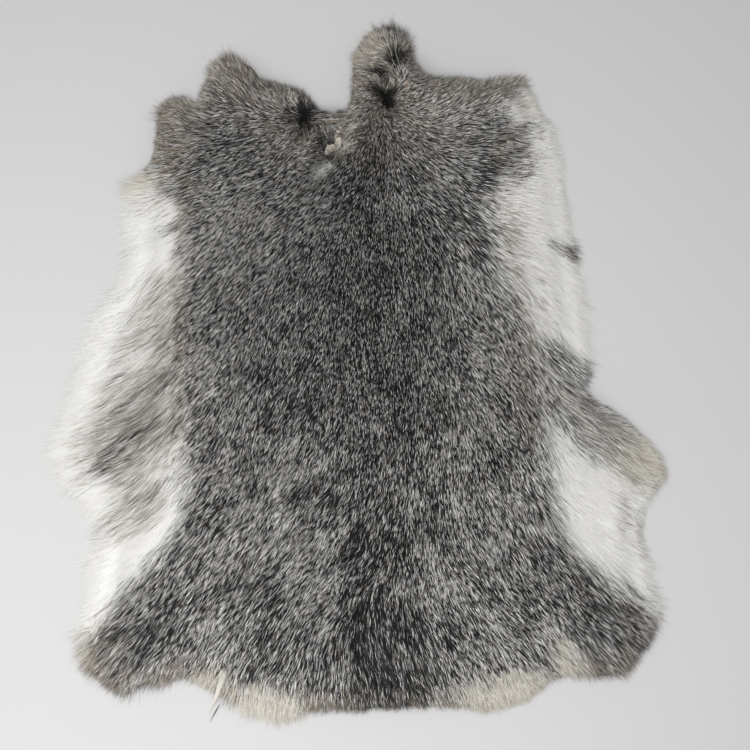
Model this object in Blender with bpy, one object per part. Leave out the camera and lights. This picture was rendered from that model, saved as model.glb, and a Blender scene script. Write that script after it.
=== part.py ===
"""A tanned rabbit skin lying fur side up, as one lumpy slab of pile with locks round its rim.

+Z is up, +Y points to the neck end and +X to the right as the fur is seen from above. The origin lies
under the middle of the skin's box, on the surface that it rests on. Tables and sizes are in millimetres,
and mesh points in metres.
"""

import math
import random
from typing import NamedTuple

import bmesh
import bpy
from mathutils import Vector, noise
from mathutils.geometry import delaunay_2d_cdt, intersect_line_line_2d

MM = 0.001

# Pile
PILE_HEIGHT = 17.0  # top of the fur over the back
RIM_WALL = 7.5  # height of the pile where the locks leave it
RIM_ROUND = 26.0  # how far in from the rim the pile reaches its full height
LEAST_PILE = 3.5  # in the deepest hollow
RELIEF_IN = 8.0  # how far in from the rim folds reach their full height
TUFT_RISE = 5.0  # lumps of the fur, up and down
TUFT_SPAN = 11.0  # across the hair
TUFT_RUN = 30.0  # along the hair
TUFT_STEPS = 5  # places that a lump is averaged over, along the hair

# Locks at the rim
LOCKS = 232
LOCK_GAP = 1.3  # between two roots
LOCK_SPREAD = 0.45  # least share of a lock's way that leads straight off the rim
LOCK_TURN_OUT = 1.4  # how strongly a heading that lacks that share is turned off the rim
LOCK_TAPER = 0.72  # width at half length, as a share of the root's
LOCK_MIDDLE = 0.6  # height at half length, as a share of the root's
LOCK_APART = 0.35  # clear space kept between two locks
LOCK_SHORTEN = 0.88  # step by which locks that would touch are shortened
LOCK_STEER = 0.3  # step by which a lock that would run back into the rim is turned off it
SHORTENING_ROUNDS = 14
LENGTH_VARIES = 0.14
HEADING_VARIES = 5.0  # degrees
ROOT_VARIES = 0.16  # share of a lock's pitch

# Facets
SPAN_STEPS = 12  # points that the rim's curve is measured by, from one landmark to the next
SHOULDER_IN = 5.0  # the first ring of points inside the rim
SHOULDER_APART = 3.5  # least distance between two of them
SHOULDER_CLEAR = 4.0  # least distance of one from the rim
TOP_SPACING = 7.6
TOP_IN = 8.8  # the top's other points, from the rim
UNDER_SPACING = 42.0
UNDER_IN = 10.5  # the underside's points, from the rim
POINT_JITTER = 0.16
POINTS_MEET = 1e-4
SHARP_ANGLE = 50.0  # degrees
SEED = 11


class Edge(NamedTuple):
    """A landmark of the rim, where the locks are rooted, and how far the fur reaches past it."""

    place: str
    x: float
    y: float
    reach: float


class Lie(NamedTuple):
    """Which way the hair lies at a place: 0 degrees points to +X and 90 to the neck."""

    place: str
    x: float
    y: float
    heading: float


class Relief(NamedTuple):
    """A roll, fold or hollow: a soft oval of half length `along` on its heading and `across` it."""

    place: str
    x: float
    y: float
    along: float
    across: float
    heading: float
    rise: float


class Wisp(NamedTuple):
    """A single long lock."""

    place: str
    x: float
    y: float
    heading: float
    length: float


# From the notch in the neck down the left side, round the tail and up the right side
EDGES = (
    Edge("neck notch", -13, 146, 5),
    Edge("whorl", -24, 149, 5),
    Edge("left lobe, inner side", -32, 156, 7),
    Edge("left lobe, dip", -44, 161, 7),
    Edge("left lobe, crown's right", -56, 164, 7),
    Edge("left lobe, crown", -66, 171, 9),
    Edge("left lobe, crown's end", -77, 170, 8),
    Edge("left lobe, outer side", -82, 160, 6),
    Edge("saddle between lobes", -90, 147, 4),
    Edge("cheek, crown", -99, 151, 7),
    Edge("cheek, outer side", -108, 147, 8),
    Edge("cheek, low", -112, 130, 6),
    Edge("above the cream tuft", -115, 117, 7),
    Edge("cream tuft", -118, 105, 26),
    Edge("left bib", -119, 92, 21),
    Edge("left armpit", -120, 61, 20),
    Edge("left flank, top", -127, 45, 20),
    Edge("left flank, high", -138, 23, 16),
    Edge("left flank", -147, 0, 17),
    Edge("left foreleg, above", -152, -21, 21),
    Edge("left foreleg, tip", -154, -44, 26),
    Edge("left foreleg, under", -150, -60, 24),
    Edge("left bay, top", -141, -71, 23),
    Edge("left bay", -133, -87, 22),
    Edge("left bay, low", -134, -102, 20),
    Edge("left hind leg, top", -139, -123, 16),
    Edge("left hind leg", -144, -142, 13),
    Edge("left hind leg, tip", -145, -159, 12),
    Edge("left corner", -140, -168, 11),
    Edge("left skirt, outer", -128, -172, 11),
    Edge("left skirt", -111, -169, 11),
    Edge("left skirt, dip", -94, -166, 12),
    Edge("left skirt, inner", -76, -172, 13),
    Edge("left cream patch", -59, -179, 20),
    Edge("left cream patch, low", -40, -185, 17),
    Edge("skirt, left of the tail", -22, -184, 11),
    Edge("tail", 15, -184, 9),
    Edge("skirt, right of the tail", 50, -183, 8),
    Edge("right cream patch, low", 76, -183, 11),
    Edge("right cream patch", 94, -177, 11),
    Edge("right skirt, dip", 108, -167, 9),
    Edge("right skirt", 124, -165, 12),
    Edge("right corner", 141, -163, 14),
    Edge("right hind leg, tip", 154, -150, 15),
    Edge("right hind leg", 159, -133, 14),
    Edge("right hind leg, top", 155, -114, 13),
    Edge("right bay, low", 152, -97, 12),
    Edge("right bay", 154, -80, 11),
    Edge("right foreleg, under", 158, -69, 11),
    Edge("right foreleg, tip", 164, -56, 14),
    Edge("right foreleg, top", 160, -43, 8),
    Edge("right foreleg, middle", 146, -29, 7),
    Edge("right armpit", 129, -16, 8),
    Edge("right flank, low", 124, 2, 12),
    Edge("right flank", 120, 33, 14),
    Edge("right side tuft", 115, 66, 15),
    Edge("right bib", 110, 105, 9),
    Edge("shoulder tuft", 104, 134, 11),
    Edge("shoulder notch", 95, 147, 10),
    Edge("shoulder corner", 88, 160, 10),
    Edge("shoulder, top", 65, 164, 7),
    Edge("flap, root", 40, 167, 7),
    Edge("flap, right side", 29, 177, 7),
    Edge("flap, crown's right", 25, 188, 8),
    Edge("flap, crown", 19, 192, 8),
    Edge("flap, crown's left", 10, 188, 8),
    Edge("flap, left side high", 3, 179, 7),
    Edge("flap, left side", 1, 165, 7),
    Edge("neck, right of the notch", -3, 150, 5),
)

LIES = (
    Lie("neck bridge", -14, 144, 128),
    Lie("left lobe, inner", -39, 159, 100),
    Lie("left lobe, middle", -54, 159, 122),
    Lie("left lobe, crown", -73, 172, 108),
    Lie("left lobe, outer", -86, 157, 150),
    Lie("cheek, crown", -101, 148, 148),
    Lie("cheek", -108, 132, 178),
    Lie("left brow", -69, 137, 182),
    Lie("left brow, low", -72, 112, 212),
    Lie("cream tuft", -117, 108, 184),
    Lie("left bib", -108, 89, 194),
    Lie("left bib, low", -108, 63, 208),
    Lie("neck, left", -38, 120, 226),
    Lie("left shoulder", -72, 75, 236),
    Lie("tear, left side", -22, 126, 200),
    Lie("tear, right side", -3, 136, 190),
    Lie("parting", -10, 103, 255),
    Lie("withers", 13, 86, 270),
    Lie("back", 13, 18, 270),
    Lie("back, left", -55, 23, 250),
    Lie("left side", -94, 23, 230),
    Lie("left flank, high", -128, 23, 212),
    Lie("left flank", -145, -17, 206),
    Lie("left foreleg, tip", -151, -48, 214),
    Lie("left bay", -128, -91, 226),
    Lie("left loin", -89, -51, 240),
    Lie("left haunch", -100, -108, 238),
    Lie("left hind leg", -137, -142, 224),
    Lie("left corner", -137, -168, 232),
    Lie("left skirt", -94, -165, 248),
    Lie("left cream patch", -49, -182, 256),
    Lie("tail", 16, -182, 270),
    Lie("rump", 13, -108, 270),
    Lie("rump, left", -38, -108, 258),
    Lie("rump, right", 64, -108, 282),
    Lie("right cream patch", 81, -182, 286),
    Lie("right skirt", 115, -162, 296),
    Lie("right corner", 144, -160, 308),
    Lie("right hind leg", 157, -133, 318),
    Lie("right haunch", 120, -119, 304),
    Lie("right loin", 98, -45, 296),
    Lie("right bay", 132, -79, 316),
    Lie("right bay, edge", 155, -91, 322),
    Lie("right foreleg", 137, -39, 322),
    Lie("right foreleg, tip", 163, -56, 324),
    Lie("right flank, low", 121, -2, 320),
    Lie("right flank", 115, 35, 312),
    Lie("right side", 81, 23, 294),
    Lie("right bib, low", 110, 69, 325),
    Lie("right bib", 106, 98, 340),
    Lie("shoulder hollow", 84, 115, 348),
    Lie("shoulder tuft", 103, 135, 4),
    Lie("shoulder", 64, 135, 358),
    Lie("shoulder, low", 47, 103, 318),
    Lie("shoulder corner", 86, 159, 30),
    Lie("shoulder, top", 61, 163, 52),
    Lie("flap, right side", 31, 171, 50),
    Lie("flap, crown", 19, 192, 95),
    Lie("flap, crown's left", 6, 182, 125),
    Lie("flap, left side", 1, 165, 178),
    Lie("flap, middle", 11, 155, 200),
    Lie("neck, right", 24, 132, 312),
    Lie("nape", 8, 120, 285),
)
LIE_BLEND = 17.0  # how softly one heading passes into the next

RELIEFS = (
    Relief("flap's roll", 7, 172, 22, 8, 84, 10),
    Relief("flap's crown tuft", 20, 191, 9, 6, 10, 5),
    Relief("flap's right roll", 32, 166, 15, 8, 120, 6),
    Relief("flap's upper hollow", 21, 179, 6, 4.5, 80, -12),
    Relief("flap's crease", 18, 170, 8, 3.5, 170, -9),
    Relief("flap's pocket", 17, 158, 9, 5.5, 112, -16),
    Relief("whorl's hollow", -30, 151, 8, 6.5, 120, -13),
    Relief("whorl's left swell", -43, 150, 12, 9, 110, 4.5),
    Relief("tear in the neck", -13, 130, 15, 5.5, 58, -13),
    Relief("tear's left lip", -24, 134, 14, 7, 65, 5),
    Relief("tear's right lip", -1, 130, 15, 7, 62, 5.5),
    Relief("left lobe", -68, 160, 18, 13, 30, 6),
    Relief("furrow below the lobes", -88, 144, 16, 7, 150, -6),
    Relief("cheek lobe", -103, 138, 14, 9, 70, 5),
    Relief("shoulder's roll", 74, 152, 26, 10, 10, 6),
    Relief("shoulder's dark fold", 86, 118, 20, 8, 55, -8),
    Relief("left side's edge", -104, 44, 50, 8, 88, -5),
    Relief("left foreleg, upper fold", -120, 6, 28, 9, 40, 5),
    Relief("left foreleg, furrow", -122, -20, 28, 7, 38, -7),
    Relief("left foreleg, lower fold", -126, -42, 26, 9, 34, 6),
    Relief("left bay", -121, -88, 24, 13, 65, -7),
    Relief("right side's edge", 97, 50, 60, 9, 96, -5),
    Relief("right foreleg, fold", 131, -28, 36, 9, -42, 7),
    Relief("right foreleg, step", 130, -49, 28, 6, -44, -6),
    Relief("right bay", 131, -86, 36, 13, -56, -7),
    Relief("left haunch", -92, -132, 44, 20, 42, 5),
    Relief("right haunch", 110, -128, 44, 20, -42, 5),
    Relief("tail furrow", 14, -166, 26, 9, 90, -6),
    Relief("back", 8, -10, 120, 46, 90, 3),
)

WISP = Wisp("tail wisp", -75, -173, 250, 26)


class Finish(NamedTuple):
    """A surface's plain colour and sheen."""

    name: str
    colour: tuple
    roughness: float


FUR = Finish("agouti fur", (0.13, 0.128, 0.122, 1.0), 0.85)
SKIN = Finish("tanned skin", (0.62, 0.52, 0.4, 1.0), 0.7)


class RimPoint(NamedTuple):
    """A point of the rim's curve, with the fur's reach there and the distance walked to it."""

    at: Vector
    reach: float
    walked: float


class Lock:
    """One lock: its root's two ends on the rim, its heading and its length."""

    def __init__(self, start, end, outward, heading, length):
        self.start = start
        self.end = end
        self.outward = outward
        self.heading = heading
        self.length = length

    def middle(self):
        """The middle of the lock's two edges at half length, on the ground."""
        root = (self.start + self.end) / 2
        centre = root + self.heading * self.length / 2
        half = (self.end - self.start) * LOCK_TAPER / 2
        return centre - half, centre + half

    def tip(self):
        """The tip, on the ground."""
        return (self.start + self.end) / 2 + self.heading * self.length

    def outline(self):
        """The lock from above, as segments."""
        left, right = self.middle()
        points = (self.start, left, self.tip(), right, self.end)
        return list(zip(points[:-1], points[1:]))


def clear_scene():
    """Removes what the new scene holds."""
    for obj in list(bpy.data.objects):
        bpy.data.objects.remove(obj, do_unlink=True)


def material(finish):
    """A Principled material in the finish's colour."""
    made = bpy.data.materials.new(finish.name)
    made.use_nodes = True
    shader = made.node_tree.nodes["Principled BSDF"]
    shader.inputs["Base Color"].default_value = finish.colour
    shader.inputs["Roughness"].default_value = finish.roughness
    shader.inputs["Metallic"].default_value = 0.0
    made.diffuse_color = finish.colour
    return made


def smooth_between(before, start, end, after, t):
    """A value on the smooth curve through start and end, for t from 0 to 1."""
    return 0.5 * (
        2 * start
        + (end - before) * t
        + (2 * before - 5 * start + 4 * end - after) * t**2
        + (3 * start - before - 3 * end + after) * t**3
    )


def rim_curve():
    """The rim as closely spaced points on a smooth closed curve through the landmarks."""
    rows = [Vector((edge.x, edge.y, edge.reach)) for edge in EDGES]
    walked = 0.0
    curve = []
    for i, start in enumerate(rows):
        before, end, after = rows[i - 1], rows[(i + 1) % len(rows)], rows[(i + 2) % len(rows)]
        for step in range(SPAN_STEPS):
            here = smooth_between(before, start, end, after, step / SPAN_STEPS)
            if curve:
                walked += (here.xy - curve[-1].at).length
            curve.append(RimPoint(here.xy, here.z, walked))
    walked += (curve[0].at - curve[-1].at).length
    curve.append(RimPoint(curve[0].at, curve[0].reach, walked))
    return curve


def along_rim(curve, walked):
    """The rim's point, reach and outward direction at a distance walked from its start."""
    walked %= curve[-1].walked
    low, high = 0, len(curve) - 1
    while high - low > 1:
        middle = (low + high) // 2
        if curve[middle].walked <= walked:
            low = middle
        else:
            high = middle
    a, b = curve[low], curve[high]
    t = (walked - a.walked) / (b.walked - a.walked)
    run = (b.at - a.at).normalized()
    return a.at.lerp(b.at, t), a.reach + (b.reach - a.reach) * t, Vector((run.y, -run.x))


def lie_of_hair(at):
    """The hair's direction at a place, blended from the lies round it."""
    total = Vector((0, 0))
    for lie in LIES:
        apart = (at.x - lie.x) ** 2 + (at.y - lie.y) ** 2
        angle = math.radians(lie.heading)
        total += Vector((math.cos(angle), math.sin(angle))) / (apart + LIE_BLEND**2) ** 2
    return total.normalized()


def off_the_rim(heading, outward):
    """The heading, turned where needed so that it leads away from the rim."""
    lacking = LOCK_SPREAD - heading.dot(outward)
    return (heading + outward * LOCK_TURN_OUT * max(lacking, 0)).normalized()


def turned(direction, degrees):
    """The direction turned to the left."""
    angle = math.radians(degrees)
    cos, sin = math.cos(angle), math.sin(angle)
    return Vector((direction.x * cos - direction.y * sin, direction.x * sin + direction.y * cos))


def plan_locks(curve, rng):
    """The locks side by side round the rim, with roots of uneven width."""
    pitch = curve[-1].walked / LOCKS
    joints = [(k + rng.uniform(-ROOT_VARIES, ROOT_VARIES)) * pitch for k in range(LOCKS)]
    locks = []
    for k, joint in enumerate(joints):
        following = joints[k + 1] if k + 1 < LOCKS else joints[0] + curve[-1].walked
        start, _, _ = along_rim(curve, joint + LOCK_GAP / 2)
        end, _, _ = along_rim(curve, following - LOCK_GAP / 2)
        middle, reach, outward = along_rim(curve, (joint + following) / 2)
        heading = off_the_rim(lie_of_hair(middle), outward)
        heading = turned(heading, rng.uniform(-HEADING_VARIES, HEADING_VARIES))
        length = reach * (1 + rng.uniform(-LENGTH_VARIES, LENGTH_VARIES))
        locks.append(Lock(start, end, outward, heading, length))
    add_wisp(locks)
    keep_apart(locks)
    return locks


def add_wisp(locks):
    """Makes the lock nearest to the wisp's root as long as the wisp."""
    root = Vector((WISP.x, WISP.y))
    nearest = min(locks, key=lambda lock: (lock.start - root).length)
    nearest.heading = turned(Vector((1, 0)), WISP.heading)
    nearest.length = WISP.length


def boxes_meet(a, b):
    """Whether two lists of segments may touch, by their boxes."""
    for axis in (0, 1):
        low_a, high_a = min(p[axis] for s in a for p in s), max(p[axis] for s in a for p in s)
        low_b, high_b = min(p[axis] for s in b for p in s), max(p[axis] for s in b for p in s)
        if low_a > high_b + LOCK_APART or low_b > high_a + LOCK_APART:
            return False
    return True


def near(a, b):
    """Whether two segments cross or come closer than locks are kept apart."""
    if intersect_line_line_2d(*a, *b) is not None:
        return True
    return min(gap_to(p, b) for p in a) < LOCK_APART or min(gap_to(p, a) for p in b) < LOCK_APART


def gap_to(point, segment):
    """The distance from a point to a segment."""
    start, end = segment
    run = end - start
    t = max(0.0, min(1.0, (point - start).dot(run) / run.length_squared))
    return (point - start - run * t).length


def keep_apart(locks):
    """Shortens locks until no two touch and none runs back into the rim."""
    count = len(locks)
    rim = [(locks[k].start, locks[k].end) for k in range(count)]
    rim += [(locks[k].end, locks[(k + 1) % count].start) for k in range(count)]
    for _ in range(SHORTENING_ROUNDS):
        outlines = [lock.outline() for lock in locks]
        short = set()
        for i in range(count):
            for j in range(i + 1, count):
                if boxes_meet(outlines[i], outlines[j]) and any(
                    near(a, b) for a in outlines[i] for b in outlines[j]
                ):
                    short |= {i, j}
            own = {i, count + i, count + (i - 1) % count}
            way = (locks[i].start.lerp(locks[i].end, 0.5) + locks[i].outward, locks[i].tip())
            if any(k not in own and near(way, side) for k, side in enumerate(rim)):
                locks[i].heading = (locks[i].heading + locks[i].outward * LOCK_STEER).normalized()
                short.add(i)
        for k in short:
            locks[k].length *= LOCK_SHORTEN
        if not short:
            break


def rim_distance(at, rim):
    """How far a place inside is from the rim."""
    return min(gap_to(at, side) for side in rim)


def inside(at, rim):
    """Whether a place lies inside the rim, by the sides that a line to its right crosses."""
    crossed = False
    for a, b in rim:
        if (a.y > at.y) != (b.y > at.y) and at.x < a.x + (at.y - a.y) * (b.x - a.x) / (b.y - a.y):
            crossed = not crossed
    return crossed


def relief(at):
    """The rise of rolls, folds and hollows at a place."""
    total = 0.0
    for form in RELIEFS:
        offset = turned(at - Vector((form.x, form.y)), -form.heading)
        total += form.rise * math.exp(-((offset.x / form.along) ** 2) - (offset.y / form.across) ** 2)
    return total


def tufts(at):
    """The rise and fall of the fur's lumps, which are drawn out along the hair."""
    lie = lie_of_hair(at)
    total = 0.0
    for step in range(TUFT_STEPS):
        here = at + lie * TUFT_RUN * (step / (TUFT_STEPS - 1) - 0.5)
        total += noise.noise(Vector((here.x, here.y, 0)) / TUFT_SPAN)
    return TUFT_RISE * total / TUFT_STEPS


def pile_top(at, from_rim):
    """The height of the fur at a place, rounded off towards the rim."""
    share = min(from_rim / RIM_ROUND, 1.0)
    crown = math.sqrt(1 - (1 - share) ** 2)
    height = RIM_WALL + (PILE_HEIGHT - RIM_WALL) * crown
    height += relief(at) * min(from_rim / RELIEF_IN, 1.0) + tufts(at)
    return max(height, LEAST_PILE)


def places_within(rim, spacing, least_in, rng):
    """Points of a jittered triangular grid that lie well inside the rim."""
    reach_x = max(abs(edge.x) for edge in EDGES)
    reach_y = max(abs(edge.y) for edge in EDGES)
    row_height = spacing * math.sqrt(3) / 2
    places = []
    for row in range(math.ceil(2 * reach_y / row_height)):
        for column in range(math.ceil(2 * reach_x / spacing)):
            at = Vector((-reach_x + (column + 0.5 * (row % 2)) * spacing, -reach_y + row * row_height))
            at += Vector((rng.uniform(-1, 1), rng.uniform(-1, 1))) * POINT_JITTER * spacing
            if inside(at, rim) and rim_distance(at, rim) > least_in:
                places.append(at)
    return places


def shoulder_places(locks, rim):
    """A ring of points just inside the rim, one for each lock, where they don't crowd."""
    places = []
    for lock in locks:
        at = (lock.start + lock.end) / 2 - lock.outward * SHOULDER_IN
        clear = all((at - other).length > SHOULDER_APART for other in places)
        if clear and inside(at, rim) and rim_distance(at, rim) > SHOULDER_CLEAR:
            places.append(at)
    return places


def triangulated(loop, places):
    """Triangles that fill the loop through the places: the points, and each triangle's three indices."""
    sides = [(k, (k + 1) % len(loop)) for k in range(len(loop))]
    whole = [list(range(len(loop)))]
    points, _, faces, _, _, _ = delaunay_2d_cdt(loop + places, sides, whole, 1, POINTS_MEET)
    if len(points) != len(loop) + len(places):
        raise ValueError("the rim crosses itself or two places coincide")
    return points, faces


def add_surface(mesh, points, faces, heights, ring, slot):
    """Adds a triangulated surface whose first points are the ring's, which are there already."""
    verts = list(ring)
    for at, height in zip(points[len(ring) :], heights[len(ring) :]):
        verts.append(mesh.verts.new(Vector((at.x, at.y, height)) * MM))
    for face in faces:
        mesh.faces.new([verts[k] for k in face]).material_index = slot


def add_lock(mesh, root_face, lock, wall):
    """Draws a lock out of its root's face, level on the ground underneath and tapering to a point."""
    drawn = bmesh.ops.extrude_discrete_faces(mesh, faces=[root_face])["faces"][0]
    left, right = lock.middle()
    for vert in drawn.verts:
        at_start = (vert.co.xy / MM - lock.start).length < (vert.co.xy / MM - lock.end).length
        side = left if at_start else right
        height = wall * LOCK_MIDDLE if vert.co.z > 0 else 0.0
        vert.co = Vector((side.x, side.y, height)) * MM
    tip = bmesh.ops.poke(mesh, faces=[drawn])["verts"][0]
    tip.co = Vector((*lock.tip(), 0.0)) * MM


def build_pelt():
    """The whole skin with its fur as one closed body."""
    rng = random.Random(SEED)
    curve = rim_curve()
    locks = plan_locks(curve, rng)
    loop = [point for lock in locks for point in (lock.start, lock.end)]
    rim = list(zip(loop, loop[1:] + loop[:1]))
    walls = [RIM_WALL + tufts(at) for at in loop]

    mesh = bmesh.new()
    upper = [mesh.verts.new(Vector((at.x, at.y, wall)) * MM) for at, wall in zip(loop, walls)]
    lower = [mesh.verts.new(Vector((at.x, at.y, 0.0)) * MM) for at in loop]

    grid = places_within(rim, TOP_SPACING, TOP_IN, rng)
    points, faces = triangulated(loop, shoulder_places(locks, rim) + grid)
    heights = [pile_top(at, rim_distance(at, rim)) for at in points]
    add_surface(mesh, points, faces, heights, upper, 0)

    points, faces = triangulated(loop, places_within(rim, UNDER_SPACING, UNDER_IN, rng))
    add_surface(mesh, points, faces, [0.0] * len(points), lower, 1)

    sides = []
    for k in range(len(loop)):
        after = (k + 1) % len(loop)
        sides.append(mesh.faces.new((upper[k], lower[k], lower[after], upper[after])))
    for k, lock in enumerate(locks):
        add_lock(mesh, sides[2 * k], lock, (walls[2 * k] + walls[2 * k + 1]) / 2)

    bmesh.ops.recalc_face_normals(mesh, faces=mesh.faces)
    data = bpy.data.meshes.new("pelt")
    mesh.to_mesh(data)
    mesh.free()
    pelt = bpy.data.objects.new("pelt", data)
    bpy.context.scene.collection.objects.link(pelt)
    data.materials.append(material(FUR))
    data.materials.append(material(SKIN))
    data.shade_smooth()
    data.set_sharp_from_angle(angle=math.radians(SHARP_ANGLE))
    return pelt


clear_scene()
build_pelt()
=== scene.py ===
"""A tanned rabbit skin with its ticked grey fur, laid fur side up on a pale floor.

The skin is built up as the real one is: a thin hide, the dense underfur on it, the ticked coat over that, and
the fringe of long hair that reaches past the hide's edge. Every piece reads the same lay of the fur: how high
the pile stands, which way the hair lies and which coat grows there. Tables and sizes are in millimetres, and
mesh points in metres.
"""

from __future__ import annotations

import logging
import math
from dataclasses import dataclass, field, fields
from enum import Enum
from itertools import product
from typing import Any, NamedTuple, Optional

import bpy
import numpy as np
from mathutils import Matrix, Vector, noise
from mathutils.geometry import delaunay_2d_cdt


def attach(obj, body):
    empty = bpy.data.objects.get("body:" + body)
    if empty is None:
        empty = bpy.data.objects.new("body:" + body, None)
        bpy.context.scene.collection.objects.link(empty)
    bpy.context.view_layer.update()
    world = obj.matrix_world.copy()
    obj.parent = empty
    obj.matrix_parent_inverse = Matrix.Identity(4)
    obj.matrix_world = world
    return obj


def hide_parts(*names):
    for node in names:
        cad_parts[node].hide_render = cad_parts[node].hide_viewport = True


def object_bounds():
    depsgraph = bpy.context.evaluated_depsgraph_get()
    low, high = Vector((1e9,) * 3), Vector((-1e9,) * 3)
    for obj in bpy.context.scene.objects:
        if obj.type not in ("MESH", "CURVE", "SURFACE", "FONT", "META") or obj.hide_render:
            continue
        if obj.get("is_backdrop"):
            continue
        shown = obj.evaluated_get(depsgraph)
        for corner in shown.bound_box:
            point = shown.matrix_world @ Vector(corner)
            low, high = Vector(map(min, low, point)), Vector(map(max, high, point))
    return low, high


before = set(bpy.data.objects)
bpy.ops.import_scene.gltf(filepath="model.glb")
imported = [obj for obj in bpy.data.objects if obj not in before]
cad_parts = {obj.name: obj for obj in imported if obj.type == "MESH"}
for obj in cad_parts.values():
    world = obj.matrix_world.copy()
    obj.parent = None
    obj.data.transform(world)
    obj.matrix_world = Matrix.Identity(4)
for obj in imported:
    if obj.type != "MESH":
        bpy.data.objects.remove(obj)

LOG = logging.getLogger("rabbit skin")
MM = 0.001
NODE = "pelt"
BODY = "root"
HAIR_MAP = "OFBake"
UNDERCOLOUR_AND_SHADE = "undercolour"

# A soft oval of this power stays full nearly up to its border
FULL = 2.0

# Places are arrays of two rows, across and along the skin, in millimetres
Array = np.ndarray

# The sides of the tables of random values that patterns and tufts are read from
NOISE_ROWS = 256
TUFT_ROWS = 1024
TUFTS = TUFT_ROWS**2


class Edge(NamedTuple):
    """A landmark of the hide's edge, and how far the fur reaches past it."""

    place: str
    x: float
    y: float
    reach: float


class Lie(NamedTuple):
    """Which way the hair lies at a place: 0 degrees points to +X and 90 to the neck."""

    place: str
    x: float
    y: float
    heading: float


class Whorl(NamedTuple):
    """A place that the hair leads away from on all sides, and how far that holds."""

    place: str
    x: float
    y: float
    span: float


class Relief(NamedTuple):
    """A roll, fold or hollow: a soft oval of half length `along` on its heading and `across` it."""

    place: str
    x: float
    y: float
    along: float
    across: float
    heading: float
    rise: float


class Border(NamedTuple):
    """A landmark of a coat's outline."""

    place: str
    x: float
    y: float


class Area(Enum):
    """The coats of the skin, by where they grow, and the dark mix that paints shade into hollows and creases.
    """

    SADDLE = 0
    SILVER = 1
    SPINE = 2
    # Painted shade: the darkest mix, drawn where hollows and creases lie in shade
    HOLLOW = 3
    FAWN = 4
    STREAKED = 5
    SMOKY = 6
    CREAM = 7
    WHITE = 8


class Hair(Enum):
    """The kinds of single hair, each with a finish of its own."""

    TICKED = 0
    GUARD = 1
    SLATE = 2
    FAWN = 3
    SMOKE = 4
    CREAM = 5
    WHITE = 6


class Pattern(Enum):
    """The uneven patterns of the skin. Each one's value starts its own random numbers."""

    TICKS = 21
    TUFTS = 22
    CLUMPS = 31
    CLOUDS = 32
    FINE_CLUMPS = 33
    LOCKS = 41
    FRINGE = 45
    STREAKS = 51
    FINE_STREAKS = 52
    CRUMPLE = 61
    RAGGED_ACROSS = 62
    RAGGED_ALONG = 63


class Marking(NamedTuple):
    """A soft oval of another coat, drawn over the ones before it."""

    place: str
    x: float
    y: float
    along: float
    across: float
    heading: float
    area: Area
    strength: float


class Growth(NamedTuple):
    """How long and wide the drawn hair is round a place, and how strongly the coat is patched there."""

    place: str
    x: float
    y: float
    length: float
    width: float
    patches: float


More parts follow.
